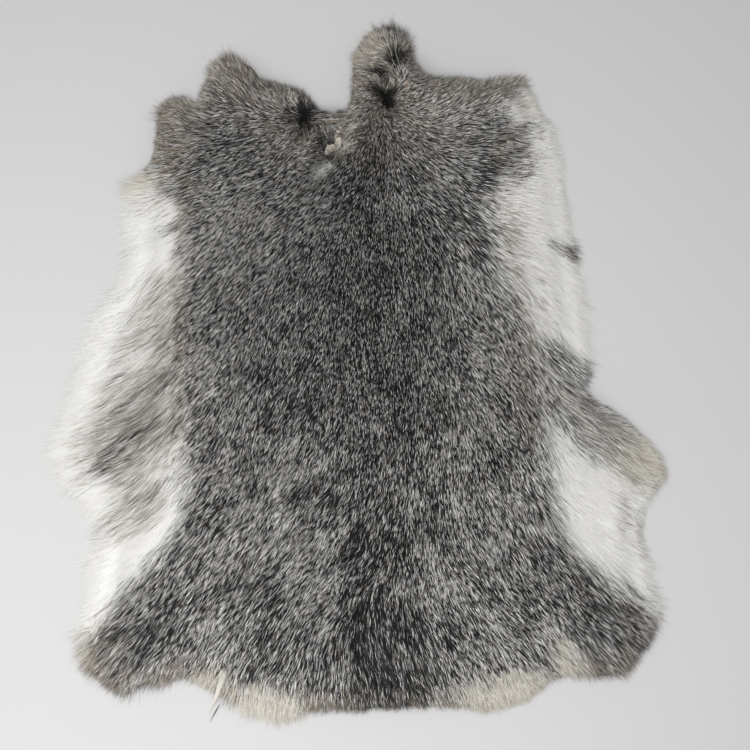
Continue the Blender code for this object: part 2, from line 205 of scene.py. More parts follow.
# From the notch in the neck down the left side, round the tail and up the right side
EDGES = (
    Edge("neck notch", -13, 146, 5),
    Edge("whorl", -24, 149, 5),
    Edge("left lobe, inner side", -32, 156, 7),
    Edge("left lobe, dip", -44, 161, 7),
    Edge("left lobe, crown's right", -56, 164, 7),
    Edge("left lobe, crown", -66, 172, 13),
    Edge("left lobe, crown's end", -78, 171, 12),
    Edge("left lobe, outer side", -84, 161, 9),
    Edge("saddle between lobes", -90, 150, 8),
    Edge("cheek, crown", -99, 153, 9),
    Edge("cheek, outer side", -108, 147, 8),
    Edge("cheek, low", -112, 130, 6),
    Edge("above the cream tuft", -115, 117, 7),
    Edge("cream tuft", -118, 105, 26),
    Edge("left bib", -119, 92, 21),
    Edge("left armpit", -120, 61, 20),
    Edge("left flank, top", -127, 45, 20),
    Edge("left flank, high", -138, 23, 16),
    Edge("left flank", -147, 0, 17),
    Edge("left foreleg, above", -152, -21, 21),
    Edge("left foreleg, tip", -154, -44, 26),
    Edge("left foreleg, under", -150, -60, 24),
    Edge("left bay, top", -141, -71, 23),
    Edge("left bay", -133, -87, 22),
    Edge("left bay, low", -134, -102, 20),
    Edge("left hind leg, top", -139, -123, 16),
    Edge("left hind leg", -144, -142, 13),
    Edge("left hind leg, tip", -145, -159, 12),
    Edge("left corner", -140, -168, 11),
    Edge("left skirt, outer", -128, -172, 11),
    Edge("left skirt", -111, -169, 11),
    Edge("left skirt, dip", -94, -166, 12),
    Edge("left skirt, inner", -76, -172, 13),
    Edge("left cream patch", -59, -179, 20),
    Edge("left cream patch, low", -40, -185, 17),
    Edge("skirt, left of the tail", -22, -184, 11),
    Edge("tail", 15, -183, 11),
    Edge("skirt, right of the tail", 50, -183, 8),
    Edge("right cream patch, low", 76, -183, 11),
    Edge("right cream patch", 94, -177, 11),
    Edge("right skirt, dip", 108, -167, 9),
    Edge("right skirt", 124, -165, 12),
    Edge("right corner", 141, -163, 14),
    Edge("right hind leg, tip", 154, -150, 15),
    Edge("right hind leg", 159, -133, 14),
    Edge("right hind leg, top", 155, -114, 13),
    Edge("right bay, low", 152, -97, 12),
    Edge("right bay", 154, -80, 11),
    Edge("right foreleg, under", 158, -69, 11),
    Edge("right foreleg, tip", 164, -56, 14),
    Edge("right foreleg, top", 160, -43, 8),
    Edge("right foreleg, middle", 146, -29, 7),
    Edge("right armpit", 127, -14, 5.5),
    Edge("right flank, low", 124, 3, 9),
    Edge("right flank", 120, 33, 14),
    Edge("right side tuft", 115, 66, 15),
    Edge("right bib", 110, 105, 12),
    Edge("shoulder tuft", 104, 134, 15),
    Edge("shoulder notch", 98, 149, 11),
    Edge("shoulder corner", 88, 163, 12),
    Edge("shoulder, top", 68, 164, 7),
    Edge("flap, root", 40, 167, 7),
    Edge("flap, right side", 29, 177, 7),
    Edge("flap, crown's right", 26, 188, 10),
    Edge("flap, crown", 19, 192, 11),
    Edge("flap, crown's left", 9, 189, 9),
    Edge("flap, left side high", 3, 180, 9),
    Edge("flap, left side", 1, 165, 7),
    Edge("neck, right of the notch", -3, 150, 5),
)

LIES = (
    Lie("whorl, right side", -14, 143, 332),
    Lie("whorl, below", -22, 136, 284),
    Lie("whorl, left side", -41, 148, 190),
    Lie("whorl, above", -26, 156, 72),
    Lie("left lobe, inner", -39, 159, 90),
    Lie("left lobe, middle", -54, 159, 122),
    Lie("left lobe, crown", -73, 172, 108),
    Lie("left lobe, outer", -86, 157, 142),
    Lie("cheek, crown", -101, 148, 164),
    Lie("cheek", -108, 132, 158),
    Lie("left brow", -69, 137, 207),
    Lie("left brow, outer", -90, 121, 208),
    Lie("left brow, low", -72, 112, 216),
    Lie("cream tuft", -117, 108, 178),
    Lie("left bib", -108, 89, 206),
    Lie("left bib, low", -108, 63, 218),
    Lie("neck, left", -38, 120, 226),
    Lie("left shoulder", -72, 75, 236),
    Lie("tear, left side", -22, 126, 200),
    Lie("tear, right side", -3, 136, 190),
    Lie("parting", -10, 103, 232),
    Lie("withers", 13, 86, 270),
    Lie("back", 13, 18, 270),
    Lie("back, left", -55, 23, 250),
    Lie("back, right", 38, 42, 274),
    Lie("left side", -94, 23, 230),
    Lie("left flank, high", -128, 23, 205),
    Lie("left flank", -145, -17, 206),
    Lie("left foreleg, tip", -151, -48, 204),
    Lie("left bay", -128, -91, 212),
    Lie("loin, left", -55, -40, 251),
    Lie("left loin", -89, -51, 232),
    Lie("left haunch", -100, -108, 238),
    Lie("left hind leg", -137, -142, 224),
    Lie("left corner", -137, -168, 232),
    Lie("left skirt", -94, -165, 240),
    Lie("left skirt, inner", -46, -160, 240),
    Lie("left cream patch", -49, -184, 268),
    Lie("tail", 12, -184, 278),
    Lie("tail, right", 45, -174, 296),
    Lie("croup, left", -24, -86, 238),
    Lie("croup", 16, -82, 254),
    Lie("croup, right", 50, -84, 275),
    Lie("croup, far right", 72, -84, 289),
    Lie("loin, right of the spine", 46, -58, 266),
    Lie("rump", 6, -110, 240),
    Lie("rump, parting", 33, -108, 276),
    Lie("rump, left", -38, -112, 234),
    Lie("rump, right", 64, -110, 304),
    Lie("tail root, left", -20, -140, 234),
    Lie("tail root", 18, -140, 279),
    Lie("tail, left", -16, -164, 264),
    Lie("tail, middle", 6, -164, 288),
    Lie("tail root, right", 52, -138, 298),
    Lie("tail root, far right", 88, -140, 310),
    Lie("right cream patch", 81, -182, 298),
    Lie("right skirt", 115, -162, 308),
    Lie("right corner", 144, -160, 313),
    Lie("right hind leg", 157, -133, 322),
    Lie("right haunch", 120, -119, 304),
    Lie("right loin", 98, -45, 296),
    Lie("right bay", 132, -79, 328),
    Lie("right bay, edge", 155, -91, 332),
    Lie("right foreleg", 137, -39, 324),
    Lie("right foreleg, tip", 163, -56, 338),
    Lie("right flank, low", 121, -2, 330),
    Lie("right flank", 115, 35, 322),
    Lie("right side", 81, 23, 300),
    Lie("right side, outer", 98, 14, 304),
    Lie("right side, low", 92, -12, 299),
    Lie("right bib, low", 110, 69, 332),
    Lie("right bib", 106, 98, 350),
    Lie("shoulder hollow", 84, 115, 356),
    Lie("shoulder tuft", 103, 135, 4),
    Lie("shoulder", 64, 135, 358),
    Lie("shoulder, low", 47, 103, 318),
    Lie("shoulder corner", 86, 159, 30),
    Lie("shoulder, top", 61, 163, 62),
    Lie("flap, right side", 33, 174, 48),
    Lie("flap, crown", 20, 193, 88),
    Lie("flap's roll", 7, 186, 128),
    Lie("flap's roll, low", 5, 176, 150),
    Lie("flap, left side", 1, 164, 148),
    Lie("flap's crease", 14, 171, 178),
    Lie("flap's pocket, above", 16, 165, 176),
    Lie("flap's pocket, left", 5, 152, 190),
    Lie("flap's pocket, right", 27, 158, 10),
    Lie("flap's pocket, below", 15, 141, 300),
    Lie("shoulder, by the flap", 46, 152, 30),
    Lie("neck, right", 32, 134, 326),
    Lie("nape", 8, 120, 262),
)

WHORLS = (
    Whorl("neck's whorl", -30.5, 147.5, 10),
    Whorl("flap's upper hollow", 22.5, 181, 8),
    Whorl("flap's pocket", 16, 160, 7),
    Whorl("tear", -14.5, 129, 7),
)

RELIEFS = (
    Relief("flap's roll", 7, 172, 22, 8, 84, 10),
    Relief("flap's crown tuft", 20, 192, 9, 6, 10, 5),
    Relief("flap's right roll", 32, 166, 15, 8, 120, 6),
    Relief("flap's upper hollow", 22.5, 181, 6.5, 5.0, 80, -12),
    Relief("flap's crease", 18, 170, 8, 3.5, 170, -9),
    Relief("flap's pocket", 17, 158, 9, 5.5, 112, -16),
    Relief("whorl's hollow", -30.5, 147, 9, 8, 120, -13),
    Relief("whorl's left swell", -43, 150, 12, 9, 110, 4.5),
    Relief("tear in the neck", -13, 130, 15, 5.5, 58, -13),
    Relief("tear's left lip", -24, 134, 14, 7, 65, 5),
    Relief("tear's right lip", -1, 130, 15, 7, 62, 5.5),
    Relief("left lobe", -68, 160, 18, 13, 30, 6),
    Relief("furrow below the lobes", -88, 144, 16, 7, 150, -6),
    Relief("cheek lobe", -103, 138, 14, 9, 70, 5),
    Relief("shoulder's roll", 74, 152, 26, 10, 10, 6),
    Relief("shoulder's dark fold", 86, 117, 20, 8, 30, -5),
    Relief("shoulder's white patch", 97, 150, 10, 8, -60, 5),
    Relief("left foreleg, upper fold", -120, 6, 28, 9, 40, 5),
    Relief("left foreleg, furrow", -122, -20, 28, 7, 38, -7),
    Relief("left foreleg, lower fold", -126, -42, 26, 9, 34, 6),
    Relief("left bay", -121, -88, 24, 13, 65, -6),
    Relief("right foreleg, fold", 131, -28, 36, 9, -42, 7),
    Relief("right foreleg, step", 130, -49, 28, 6, -44, -3),
    Relief("right bay", 131, -86, 36, 13, -56, -2),
    Relief("left haunch", -92, -132, 44, 20, 42, 5),
    Relief("right haunch", 110, -128, 44, 20, -42, 5),
    Relief("tail furrow", 14, -166, 26, 9, 90, -6),
    Relief("back", 8, -10, 120, 46, 90, 3),
)

# The grey saddle, from the neck down its left border and up its right one, past the edge where it ends there
SADDLE = (
    Border("beyond the neck", -14, 190),
    Border("beyond the left lobe", -75, 205),
    Border("beyond the cheek", -125, 175),
    Border("cheek", -121, 140),
    Border("left brow", -117, 115),
    Border("left shoulder", -109, 103),
    Border("left bib, top", -101, 92),
    Border("left bib", -98, 78),
    Border("left armpit", -100, 64),
    Border("left side, high", -101, 42),
    Border("left side", -102, 14),
    Border("left side, low", -100, -16),
    Border("left loin", -99, -45),
    Border("left loin, low", -97, -74),
    Border("left haunch, top", -104, -96),
    Border("left haunch", -117, -110),
    Border("left hind leg, above", -132, -126),
    Border("left hind leg", -143, -143),
    Border("left hind leg, outer", -153, -156),
    Border("beyond the left corner", -172, -182),
    Border("beyond the left skirt", -120, -215),
    Border("beyond the tail", 15, -225),
    Border("beyond the right skirt", 120, -215),
    Border("beyond the right corner", 185, -180),
    Border("right hind leg, outer", 170, -146),
    Border("right hind leg", 156, -136),
    Border("right haunch", 139, -123),
    Border("right haunch, top", 125, -108),
    Border("right loin, low", 113, -90),
    Border("right loin", 109, -70),
    Border("right loin, top", 105, -50),
    Border("right side, low", 103, -28),
    Border("right side, middle", 101, 0),
    Border("right side", 93, 24),
    Border("right side, high", 81, 52),
    Border("right bib", 77, 80),
    Border("right bib, top", 76, 98),
    Border("shoulder hollow", 86, 112),
    Border("shoulder tuft", 93, 134),
    Border("shoulder notch", 85, 150),
    Border("beyond the shoulder corner", 108, 182),
    Border("beyond the shoulder", 60, 200),
    Border("beyond the flap", 20, 222),
)

# The streaked hair of the left flank and foreleg, down its outer side and up along the saddle
FLANK = (
    Border("top", -104, 58),
    Border("upper streaks, top", -116, 52),
    Border("upper streaks", -126, 42),
    Border("upper streaks, low", -133, 28),
    Border("flank", -136, 10),
    Border("flank, low", -139, -8),
    Border("foreleg, above", -147, -24),
    Border("foreleg, tip", -154, -40),
    Border("foreleg, under", -151, -54),
    Border("smoky patch, outer", -136, -66),
    Border("smoky patch, low", -124, -82),
    Border("smoky patch, inner", -114, -80),
    Border("beside the white ribbon", -112, -62),
    Border("loin", -96, -46),
    Border("side", -94, 0),
    Border("side, high", -95, 50),
)

MARKINGS = (
    Marking("left loin", -62, -50, 34, 60, 0, Area.SILVER, 0.3),
    Marking("right loin", 74, -58, 34, 70, 0, Area.SILVER, 0.9),
    Marking("left haunch", -88, -138, 40, 34, 20, Area.SILVER, 0.3),
    Marking("left hind leg", -122, -152, 28, 17, 40, Area.SPINE, 0.45),
    Marking("right haunch", 92, -134, 44, 30, -20, Area.SPINE, 0.25),
    Marking("left shoulder", -76, 84, 30, 34, 0, Area.SILVER, 0.3),
    Marking("left back", -48, 14, 44, 36, 90, Area.SPINE, 0.35),
    Marking("right side", 68, 20, 26, 40, 0, Area.SILVER, 0.5),
    Marking("withers", 4, 82, 52, 46, 80, Area.SPINE, 0.58),
    Marking("back", 8, 12, 62, 42, 90, Area.SPINE, 0.75),
    Marking("spine", 15, -70, 110, 22, 90, Area.SPINE, 0.6),
    Marking("tail", 15, -160, 44, 24, 90, Area.SPINE, 0.88),
    # Painted shade at the end of the tail's furrow, with the shaded hollows' dark mix
    Marking("tail's dark end", 18, -179, 22, 12, 0, Area.HOLLOW, 0.62),
    Marking("tail's brown rim", 12, -184, 46, 6, 0, Area.FAWN, 0.14),
    # Painted shade: darker along the brow's crease
    Marking("left brow's crease", -79, 150, 13, 4, 175, Area.SPINE, 0.6),
    # Painted shade: darker in the fold of the shoulder's hollow
    Marking("right shoulder's fold", 80, 116, 20, 8, 22, Area.SPINE, 0.55),
    Marking("right shoulder's brown edge", 84, 128, 14, 6, 55, Area.FAWN, 0.45),
    Marking("right shoulder's soft fan", 96, 118, 14, 8, 80, Area.SMOKY, 0.7),
    Marking("neck", 16, 152, 46, 34, 0, Area.FAWN, 0.5),
    Marking("neck, left", -34, 138, 26, 20, 0, Area.FAWN, 0.4),
    Marking("left cheek's rim", -112, 122, 32, 9, 84, Area.FAWN, 0.6),
    Marking("left shoulder's border", -98, 88, 26, 5, 88, Area.FAWN, 0.5),
    Marking("left bib's grey tuft", -107, 80, 9, 4, 20, Area.SMOKY, 0.45),
    Marking("left side's border", -100, 14, 56, 6, 90, Area.FAWN, 0.45),
    Marking("right side's border", 93, 36, 56, 6, 104, Area.FAWN, 0.45),
    Marking("right side's border, low", 94, -14, 30, 7, 98, Area.FAWN, 0.45),
    Marking("right bib's grey strands", 88, 82, 30, 8, 102, Area.STREAKED, 0.45),
    Marking("right flank's grey strands", 108, 34, 28, 9, 96, Area.STREAKED, 0.2),
    Marking("cheek", -103, 136, 24, 14, 84, Area.FAWN, 0.6),
    Marking("cheek's crown", -104, 151, 14, 9, 30, Area.FAWN, 0.7),
    Marking("left lobe", -62, 160, 34, 13, 20, Area.FAWN, 0.52),
    Marking("hair between the lobes", -93, 156, 9, 4, 12, Area.CREAM, 0.6),
    Marking("left lobe's crown", -70, 172, 20, 12, 0, Area.FAWN, 0.95),
    Marking("left lobe's pale rim", -84, 174, 11, 5, 50, Area.CREAM, 0.5),
    Marking("cream tuft", -134, 108, 19, 7, 0, Area.CREAM, 0.9),
    Marking("left flank, upper streaks", -124, 34, 26, 14, 50, Area.WHITE, 0.4),
    Marking("left flank, white gap", -124, 5, 14, 6, 36, Area.WHITE, 0.65),
    Marking("left flank, inner white gap", -112, 22, 12, 4, 52, Area.WHITE, 0.35),
    Marking("left foreleg, dark streaks", -125, -42, 33, 9, 34, Area.SMOKY, 0.85),
    Marking("left foreleg, upper dark streaks", -118, -16, 24, 6, 44, Area.SMOKY, 0.4),
    Marking("left foreleg, white ribbon", -112, -52, 18, 3.5, 38, Area.WHITE, 0.45),
    Marking("left loin, white ribbon", -112, -62, 18, 5, 48, Area.WHITE, 0.6),
    Marking("left bay, shaded hair", -108, -68, 20, 8, 60, Area.SMOKY, 0.25),
    Marking("smoky patch", -124, -80, 22, 11, 42, Area.STREAKED, 0.68),
    Marking("left corner", -143, -160, 20, 15, 40, Area.FAWN, 0.42),
    Marking("left corner's yellow rim", -153, -166, 17, 5, 82, Area.CREAM, 0.7),
    Marking("left skirt", -86, -175, 16, 6, 6, Area.CREAM, 0.75),
    Marking("left cream patch", -50, -190, 24, 12, -6, Area.CREAM, 0.95),
    Marking("right cream patch", 84, -181, 32, 12, 10, Area.CREAM, 0.92),
    Marking("right skirt's notch", 117, -163, 15, 8, -52, Area.CREAM, 0.75),
    Marking("right hind leg", 148, -140, 27, 17, -48, Area.SPINE, 0.58),
    Marking("right corner", 162, -153, 24, 12, 120, Area.FAWN, 0.24),
    Marking("right armpit's dark hair", 116, 3, 22, 8, -34, Area.SADDLE, 0.85),
    Marking("right foreleg", 129, -30, 42, 14, -41, Area.SADDLE, 0.95),
    Marking("right foreleg's pale hair", 136, -32, 36, 12, -41, Area.STREAKED, 0.58),
    Marking("right foreleg's end", 160, -52, 19, 14, -42, Area.FAWN, 0.7),
    Marking("right foreleg's cream tip", 162, -51, 19, 14, -42, Area.CREAM, 0.9),
    Marking("right bay's smoky tuft", 157, -92, 22, 7, -70, Area.STREAKED, 0.35),
    # Painted shade of a small notch in the right fringe: grey round it, darkest in its middle
    Marking("right side's notch, shaded rim", 121, 68.5, 6.5, 5.5, -14, Area.SMOKY, 0.95),
    Marking("right side's shaded notch", 121, 68.5, 4.5, 3.6, -14, Area.SPINE, 0.5),
    Marking("shoulder corner", 76, 162, 26, 13, 10, Area.FAWN, 0.72),
    Marking("shoulder's pale edge", 74, 167, 24, 4, 2, Area.CREAM, 0.3),
    Marking("shoulder's white patch", 98, 150, 14, 11, -60, Area.WHITE, 1.0),
    Marking("shoulder's cream hair", 98, 153, 11, 8, -50, Area.CREAM, 0.35),
    Marking("shoulder's olive tuft", 99, 138, 6, 5.5, 0, Area.SMOKY, 0.75),
    Marking("shoulder's grey wisp", 108, 149, 4, 3, 0, Area.SMOKY, 0.45),
    Marking("flap's roll", 8, 184, 16, 12, 40, Area.FAWN, 1.0),
    Marking("flap's pale roll", 10, 187, 16, 8, 32, Area.CREAM, 0.5),
    Marking("flap's crown tuft", 22, 199, 10, 5, 0, Area.SPINE, 0.8),
    # Painted shade in the flap's upper hollow, its crease and its pocket
    Marking("flap's upper hollow", 22.5, 181, 8, 7, 90, Area.HOLLOW, 0.97),
    Marking("flap's crease", 13, 170, 8, 2.4, 5, Area.HOLLOW, 0.9),
    Marking("flap's pocket", 15.5, 160.5, 8, 3.6, 0, Area.HOLLOW, 0.85),
    Marking("flap's pocket, foot", 17.5, 156, 6, 3, 100, Area.HOLLOW, 0.9),
    Marking("flap's pale fold", 16, 165.5, 8.5, 1.8, 3, Area.CREAM, 0.6),
    # Painted shade in the whorl's hollow
    Marking("whorl", -30.5, 148, 12, 9.5, 130, Area.HOLLOW, 1.0),
    Marking("whorl's pale side", -42, 152.5, 8, 3.4, 52, Area.CREAM, 0.5),
    Marking("tear's light hair", -20, 114, 8, 4.5, 55, Area.WHITE, 0.6),
    Marking("tear's upper hair", -5, 138, 5.5, 2.6, 30, Area.CREAM, 0.7),
    Marking("tear's right hair", -7.5, 125, 6, 4.5, 45, Area.CREAM, 0.45),
    # Painted shade in the hollows beside the tear
    Marking("tear's hollow", -18.4, 130, 5.5, 3.4, 60, Area.HOLLOW, 0.6),
    Marking("tear's lower hollow", -16.4, 121, 4, 3.4, 40, Area.HOLLOW, 0.8),
)

GROWTHS = (
    Growth("neck", -10, 135, 3.6, 0.2, 0.1),
    Growth("left lobe", -72, 164, 8.0, 0.16, 0.11),
    Growth("left brow", -65, 132, 5.0, 0.19, 0.1),
    Growth("cheek", -104, 142, 8.0, 0.17, 0.11),
    Growth("whorl", -29, 148, 3.6, 0.23, 0.08),
    Growth("flap's pocket", 16, 156, 3.4, 0.23, 0.08),
    Growth("flap", 12, 182, 8.0, 0.16, 0.11),
    Growth("shoulder", 68, 132, 6.5, 0.18, 0.11),
    Growth("left shoulder", -72, 92, 4.6, 0.21, 0.11),
    Growth("shoulder's fold", 90, 118, 9.0, 0.24, 0.08),
    Growth("withers", 5, 70, 4.0, 0.21, 0.12),
    Growth("back", 10, -10, 4.2, 0.21, 0.2),
    Growth("left side", -80, 10, 4.7, 0.21, 0.2),
    Growth("right side", 78, 10, 4.7, 0.21, 0.2),
    Growth("left loin", -70, -55, 5.3, 0.22, 0.3),
    Growth("right loin", 75, -55, 5.3, 0.22, 0.28),
    Growth("rump", 10, -110, 5.6, 0.22, 0.25),
    Growth("tail", 12, -170, 8.0, 0.21, 0.18),
    Growth("left haunch", -95, -130, 6.6, 0.22, 0.22),
    Growth("right haunch", 105, -130, 6.6, 0.22, 0.22),
    Growth("left corner", -140, -160, 10.0, 0.2, 0.16),
    Growth("right corner", 150, -150, 10.0, 0.2, 0.14),
    Growth("left bib", -125, 85, 15.0, 0.25, 0.08),
    Growth("left flank", -135, -10, 18.0, 0.19, 0.11),
    Growth("left bay", -128, -90, 16.0, 0.24, 0.11),
    Growth("right bib", 112, 80, 13.0, 0.25, 0.08),
    Growth("right flank", 120, 20, 13.0, 0.25, 0.08),
    Growth("right bay", 132, -85, 15.0, 0.25, 0.11),
    Growth("right foreleg", 148, -40, 14.0, 0.2, 0.11),
)

# Where the hair is thin or gone, so that what lies under it shows: the bare hide at the torn edge, and the
# underfur's painted shade in its hollows, the whorl and the flap's hollows
BARE = (
    Marking("torn edge, bead", -10, 138, 3.2, 2.6, 60, Area.HOLLOW, 0.85),
    Marking("torn edge, turned up", -11.5, 131, 4.8, 3.8, 120, Area.HOLLOW, 0.9),
    Marking("torn edge, lower fold", -13.5, 128, 7, 2.6, 34, Area.HOLLOW, 0.88),
    Marking("torn edge, hollow", -18.4, 130, 4.0, 2.4, 60, Area.HOLLOW, 0.6),
    Marking("torn edge, lower hollow", -16.4, 121, 3.0, 2.4, 40, Area.HOLLOW, 0.85),
    Marking("whorl", -30.5, 147, 7, 6, 130, Area.HOLLOW, 1.0),
    Marking("flap's upper hollow", 22.5, 181, 5.5, 4.5, 90, Area.HOLLOW, 1.0),
    Marking("flap's crease", 13, 170, 6.5, 1.6, 5, Area.HOLLOW, 0.6),
    Marking("flap's pocket", 15.5, 160.5, 7, 3.2, 0, Area.HOLLOW, 0.9),
    Marking("flap's pocket, foot", 17.5, 156, 5, 3.2, 100, Area.HOLLOW, 0.7),
)

# The share of each kind of hair in a coat: ticked, guard, slate, fawn, smoke, cream, white
MIXES = {
    Area.SADDLE: (0.33, 0.47, 0.18, 0.02, 0.0, 0.0, 0.0),
    Area.SILVER: (0.46, 0.34, 0.18, 0.02, 0.0, 0.0, 0.0),
    Area.SPINE: (0.18, 0.61, 0.20, 0.01, 0.0, 0.0, 0.0),
    # Painted shade: mostly black hair where the fur lies in shade in its hollows
    Area.HOLLOW: (0.04, 0.74, 0.22, 0.0, 0.0, 0.0, 0.0),
    Area.FAWN: (0.15, 0.10, 0.15, 0.46, 0.14, 0.0, 0.0),
    Area.STREAKED: (0.06, 0.03, 0.08, 0.08, 0.47, 0.09, 0.19),
    Area.SMOKY: (0.09, 0.23, 0.26, 0.08, 0.28, 0.02, 0.04),
    Area.CREAM: (0.0, 0.0, 0.0, 0.07, 0.04, 0.84, 0.05),
    Area.WHITE: (0.0, 0.0, 0.0, 0.0, 0.01, 0.04, 0.95),
}


def linear(code: str) -> tuple[float, float, float, float]:
    """Turns an sRGB hex colour into linear light.

    Args:
        code: The colour as "#rrggbb".

    Returns:
        Red, green, blue and an alpha of 1.
    """
    shares = [int(code[k : k + 2], 16) / 255 for k in (1, 3, 5)]
    red, green, blue = [c / 12.92 if c <= 0.04045 else ((c + 0.055) / 1.055) ** 2.4 for c in shares]
    return red, green, blue, 1.0


def add_node(
    tree: bpy.types.NodeTree,
    kind: str,
    values: Optional[dict[Any, Any]] = None,
    links: Optional[dict[Any, bpy.types.NodeSocket]] = None,
    **settings: Any,
) -> bpy.types.Node:
    """Adds a node with its settings, its sockets' values and its links.

    Args:
        tree: The material's node tree.
        kind: The node's type name.
        values: Socket names or numbers with their values.
        links: Socket names or numbers with the output that feeds each.
        **settings: The node's own properties.

    Returns:
        The node.
    """
    node = tree.nodes.new(kind)
    for name, value in settings.items():
        setattr(node, name, value)
    for socket, value in (values or {}).items():
        node.inputs[socket].default_value = value
    for socket, output in (links or {}).items():
        tree.links.new(output, node.inputs[socket])
    return node


def new_material(name: str) -> tuple[bpy.types.Material, bpy.types.NodeTree, bpy.types.Node]:
    """Makes an empty Principled material.

    Args:
        name: The material's name.

    Returns:
        The material, its node tree and its Principled shader.
    """
    material = bpy.data.materials.new(name)
    material.use_nodes = True
    return material, material.node_tree, material.node_tree.nodes["Principled BSDF"]


@dataclass(frozen=True)
class HairFinish:
    """One kind of rabbit hair: a keratin shaft, smooth and slightly glossy, with its colour banded along it.

    Attributes:
        name: The material's name.
        stops: Places along the hair from root to tip, each with its colour.
        dark: Brightness of the kind's darkest hairs.
        light: Brightness of its lightest ones.
        roughness: The shaft's roughness.
        ior: The index of keratin.
        gloss: The strength of the sheen, low because a drawn hair is wider than a real one.
    """

    name: str
    stops: tuple[tuple[float, str], ...]
    dark: float
    light: float
    roughness: float = 0.55
    ior: float = 1.55
    gloss: float = 0.3

    def dress(self) -> bpy.types.Material:
        """Makes the material, whose colour depends only on the hair map.

        Returns:
            The material. The map's second coordinate runs from root to tip, and the first picks the shade.
        """
        material, tree, shader = new_material(self.name)
        place = add_node(tree, "ShaderNodeUVMap", uv_map=HAIR_MAP)
        axes = add_node(tree, "ShaderNodeSeparateXYZ", links={0: place.outputs[0]})
        band = add_node(tree, "ShaderNodeValToRGB", links={0: axes.outputs[1]})
        ramp = band.color_ramp
        for k, (at, code) in enumerate(self.stops):
            stop = ramp.elements[k] if k < 2 else ramp.elements.new(at)
            stop.position = at
            stop.color = linear(code)
        columns = {1: float(len(Hair))}
        column = add_node(tree, "ShaderNodeMath", columns, {0: axes.outputs[0]}, operation="MULTIPLY")
        within = add_node(tree, "ShaderNodeMath", links={0: column.outputs[0]}, operation="FRACT")
        shades = {"To Min": self.dark, "To Max": self.light}
        shade = add_node(tree, "ShaderNodeMapRange", shades, {0: within.outputs[0]})
        shaded = {0: band.outputs[0], "Scale": shade.outputs[0]}
        colour = add_node(tree, "ShaderNodeVectorMath", links=shaded, operation="SCALE")
        tree.links.new(colour.outputs[0], shader.inputs["Base Color"])
        shader.inputs["Roughness"].default_value = self.roughness
        shader.inputs["IOR"].default_value = self.ior
        shader.inputs["Specular IOR Level"].default_value = self.gloss
        return material


# Rabbit guard hair has a slate root, one pale band and a black tip, which gives the coat its ticks
TICKED_BAND = (
    (0.0, "#48494c"),
    (0.24, "#686765"),
    (0.34, "#e2e0dc"),
    (0.8, "#efedea"),
    (0.92, "#5c5a57"),
    (1.0, "#1c1b1a"),
)

HAIR_FINISHES = {
    Hair.TICKED: HairFinish("ticked guard hair", TICKED_BAND, 0.76, 1.24),
    Hair.GUARD: HairFinish(
        "black guard hair", ((0.0, "#36373a"), (0.5, "#202020"), (1.0, "#121211")), 0.55, 1.45
    ),
    Hair.SLATE: HairFinish(
        "slate wool hair", ((0.0, "#404144"), (0.5, "#565553"), (0.8, "#5d5b59"), (1.0, "#343331")), 0.6, 1.25
    ),
    Hair.FAWN: HairFinish(
        "fawn hair", ((0.0, "#7d766e"), (0.5, "#ada08f"), (0.8, "#a39483"), (1.0, "#7c6f61")), 0.7, 1.36
    ),
    Hair.SMOKE: HairFinish(
        "smoky flank hair",
        ((0.0, "#dedad3"), (0.4, "#c6c0b8"), (0.8, "#a8a29a"), (1.0, "#b4aea6")),
        0.64,
        1.2,
    ),
    Hair.CREAM: HairFinish(
        "cream hair", ((0.0, "#f1eee6"), (0.6, "#ebe7dc"), (1.0, "#e1dccf")), 0.88, 1.02
    ),
    Hair.WHITE: HairFinish(
        "white belly hair", ((0.0, "#f8f7f4"), (0.6, "#f8f7f4"), (1.0, "#f5f4f0")), 0.94, 1.0
    ),
}


@dataclass(frozen=True)
class UnderfurFinish:
    """The dense wool under the guard hair: matt, with the coat's own undercolour and painted shade in the
    hollows, mottled by its fine locks.

    Attributes:
        name: The material's name.
        lock_mm: The size of a lock of wool.
        mottle: Brightness of the darkest and the lightest locks.
        bump_mm: How far a lock stands out.
        bump: How strongly that shows.
        roughness: The wool's roughness.
        gloss: The strength of its faint sheen.
    """

    name: str = "dense underfur"
    lock_mm: float = 1.6
    mottle: tuple[float, float] = (0.86, 1.0)
    bump_mm: float = 0.8
    bump: float = 0.6
    roughness: float = 0.9
    gloss: float = 0.15

    def dress(self) -> bpy.types.Material:
        """Makes the material from the undercolour and painted shade that the mesh carries.

        Returns:
            The material.
        """
        material, tree, shader = new_material(self.name)
        tone = add_node(tree, "ShaderNodeAttribute", attribute_name=UNDERCOLOUR_AND_SHADE)
        place = add_node(tree, "ShaderNodeTexCoord")
        grain = {"Scale": 1 / (self.lock_mm * MM), "Detail": 2.0}
        locks = add_node(tree, "ShaderNodeTexNoise", grain, {"Vector": place.outputs["Object"]})
        spread = {"From Min": 0.3, "From Max": 0.7, "To Min": self.mottle[0], "To Max": self.mottle[1]}
        mottle = add_node(tree, "ShaderNodeMapRange", spread, {0: locks.outputs[0]})
        shaded = {0: tone.outputs[0], "Scale": mottle.outputs[0]}
        colour = add_node(tree, "ShaderNodeVectorMath", links=shaded, operation="SCALE")
        depth = {"Strength": self.bump, "Distance": self.bump_mm * MM}
        bump = add_node(tree, "ShaderNodeBump", depth, {"Height": locks.outputs[0]})
        tree.links.new(colour.outputs[0], shader.inputs["Base Color"])
        tree.links.new(bump.outputs[0], shader.inputs["Normal"])
        shader.inputs["Roughness"].default_value = self.roughness
        shader.inputs["Specular IOR Level"].default_value = self.gloss
        return material


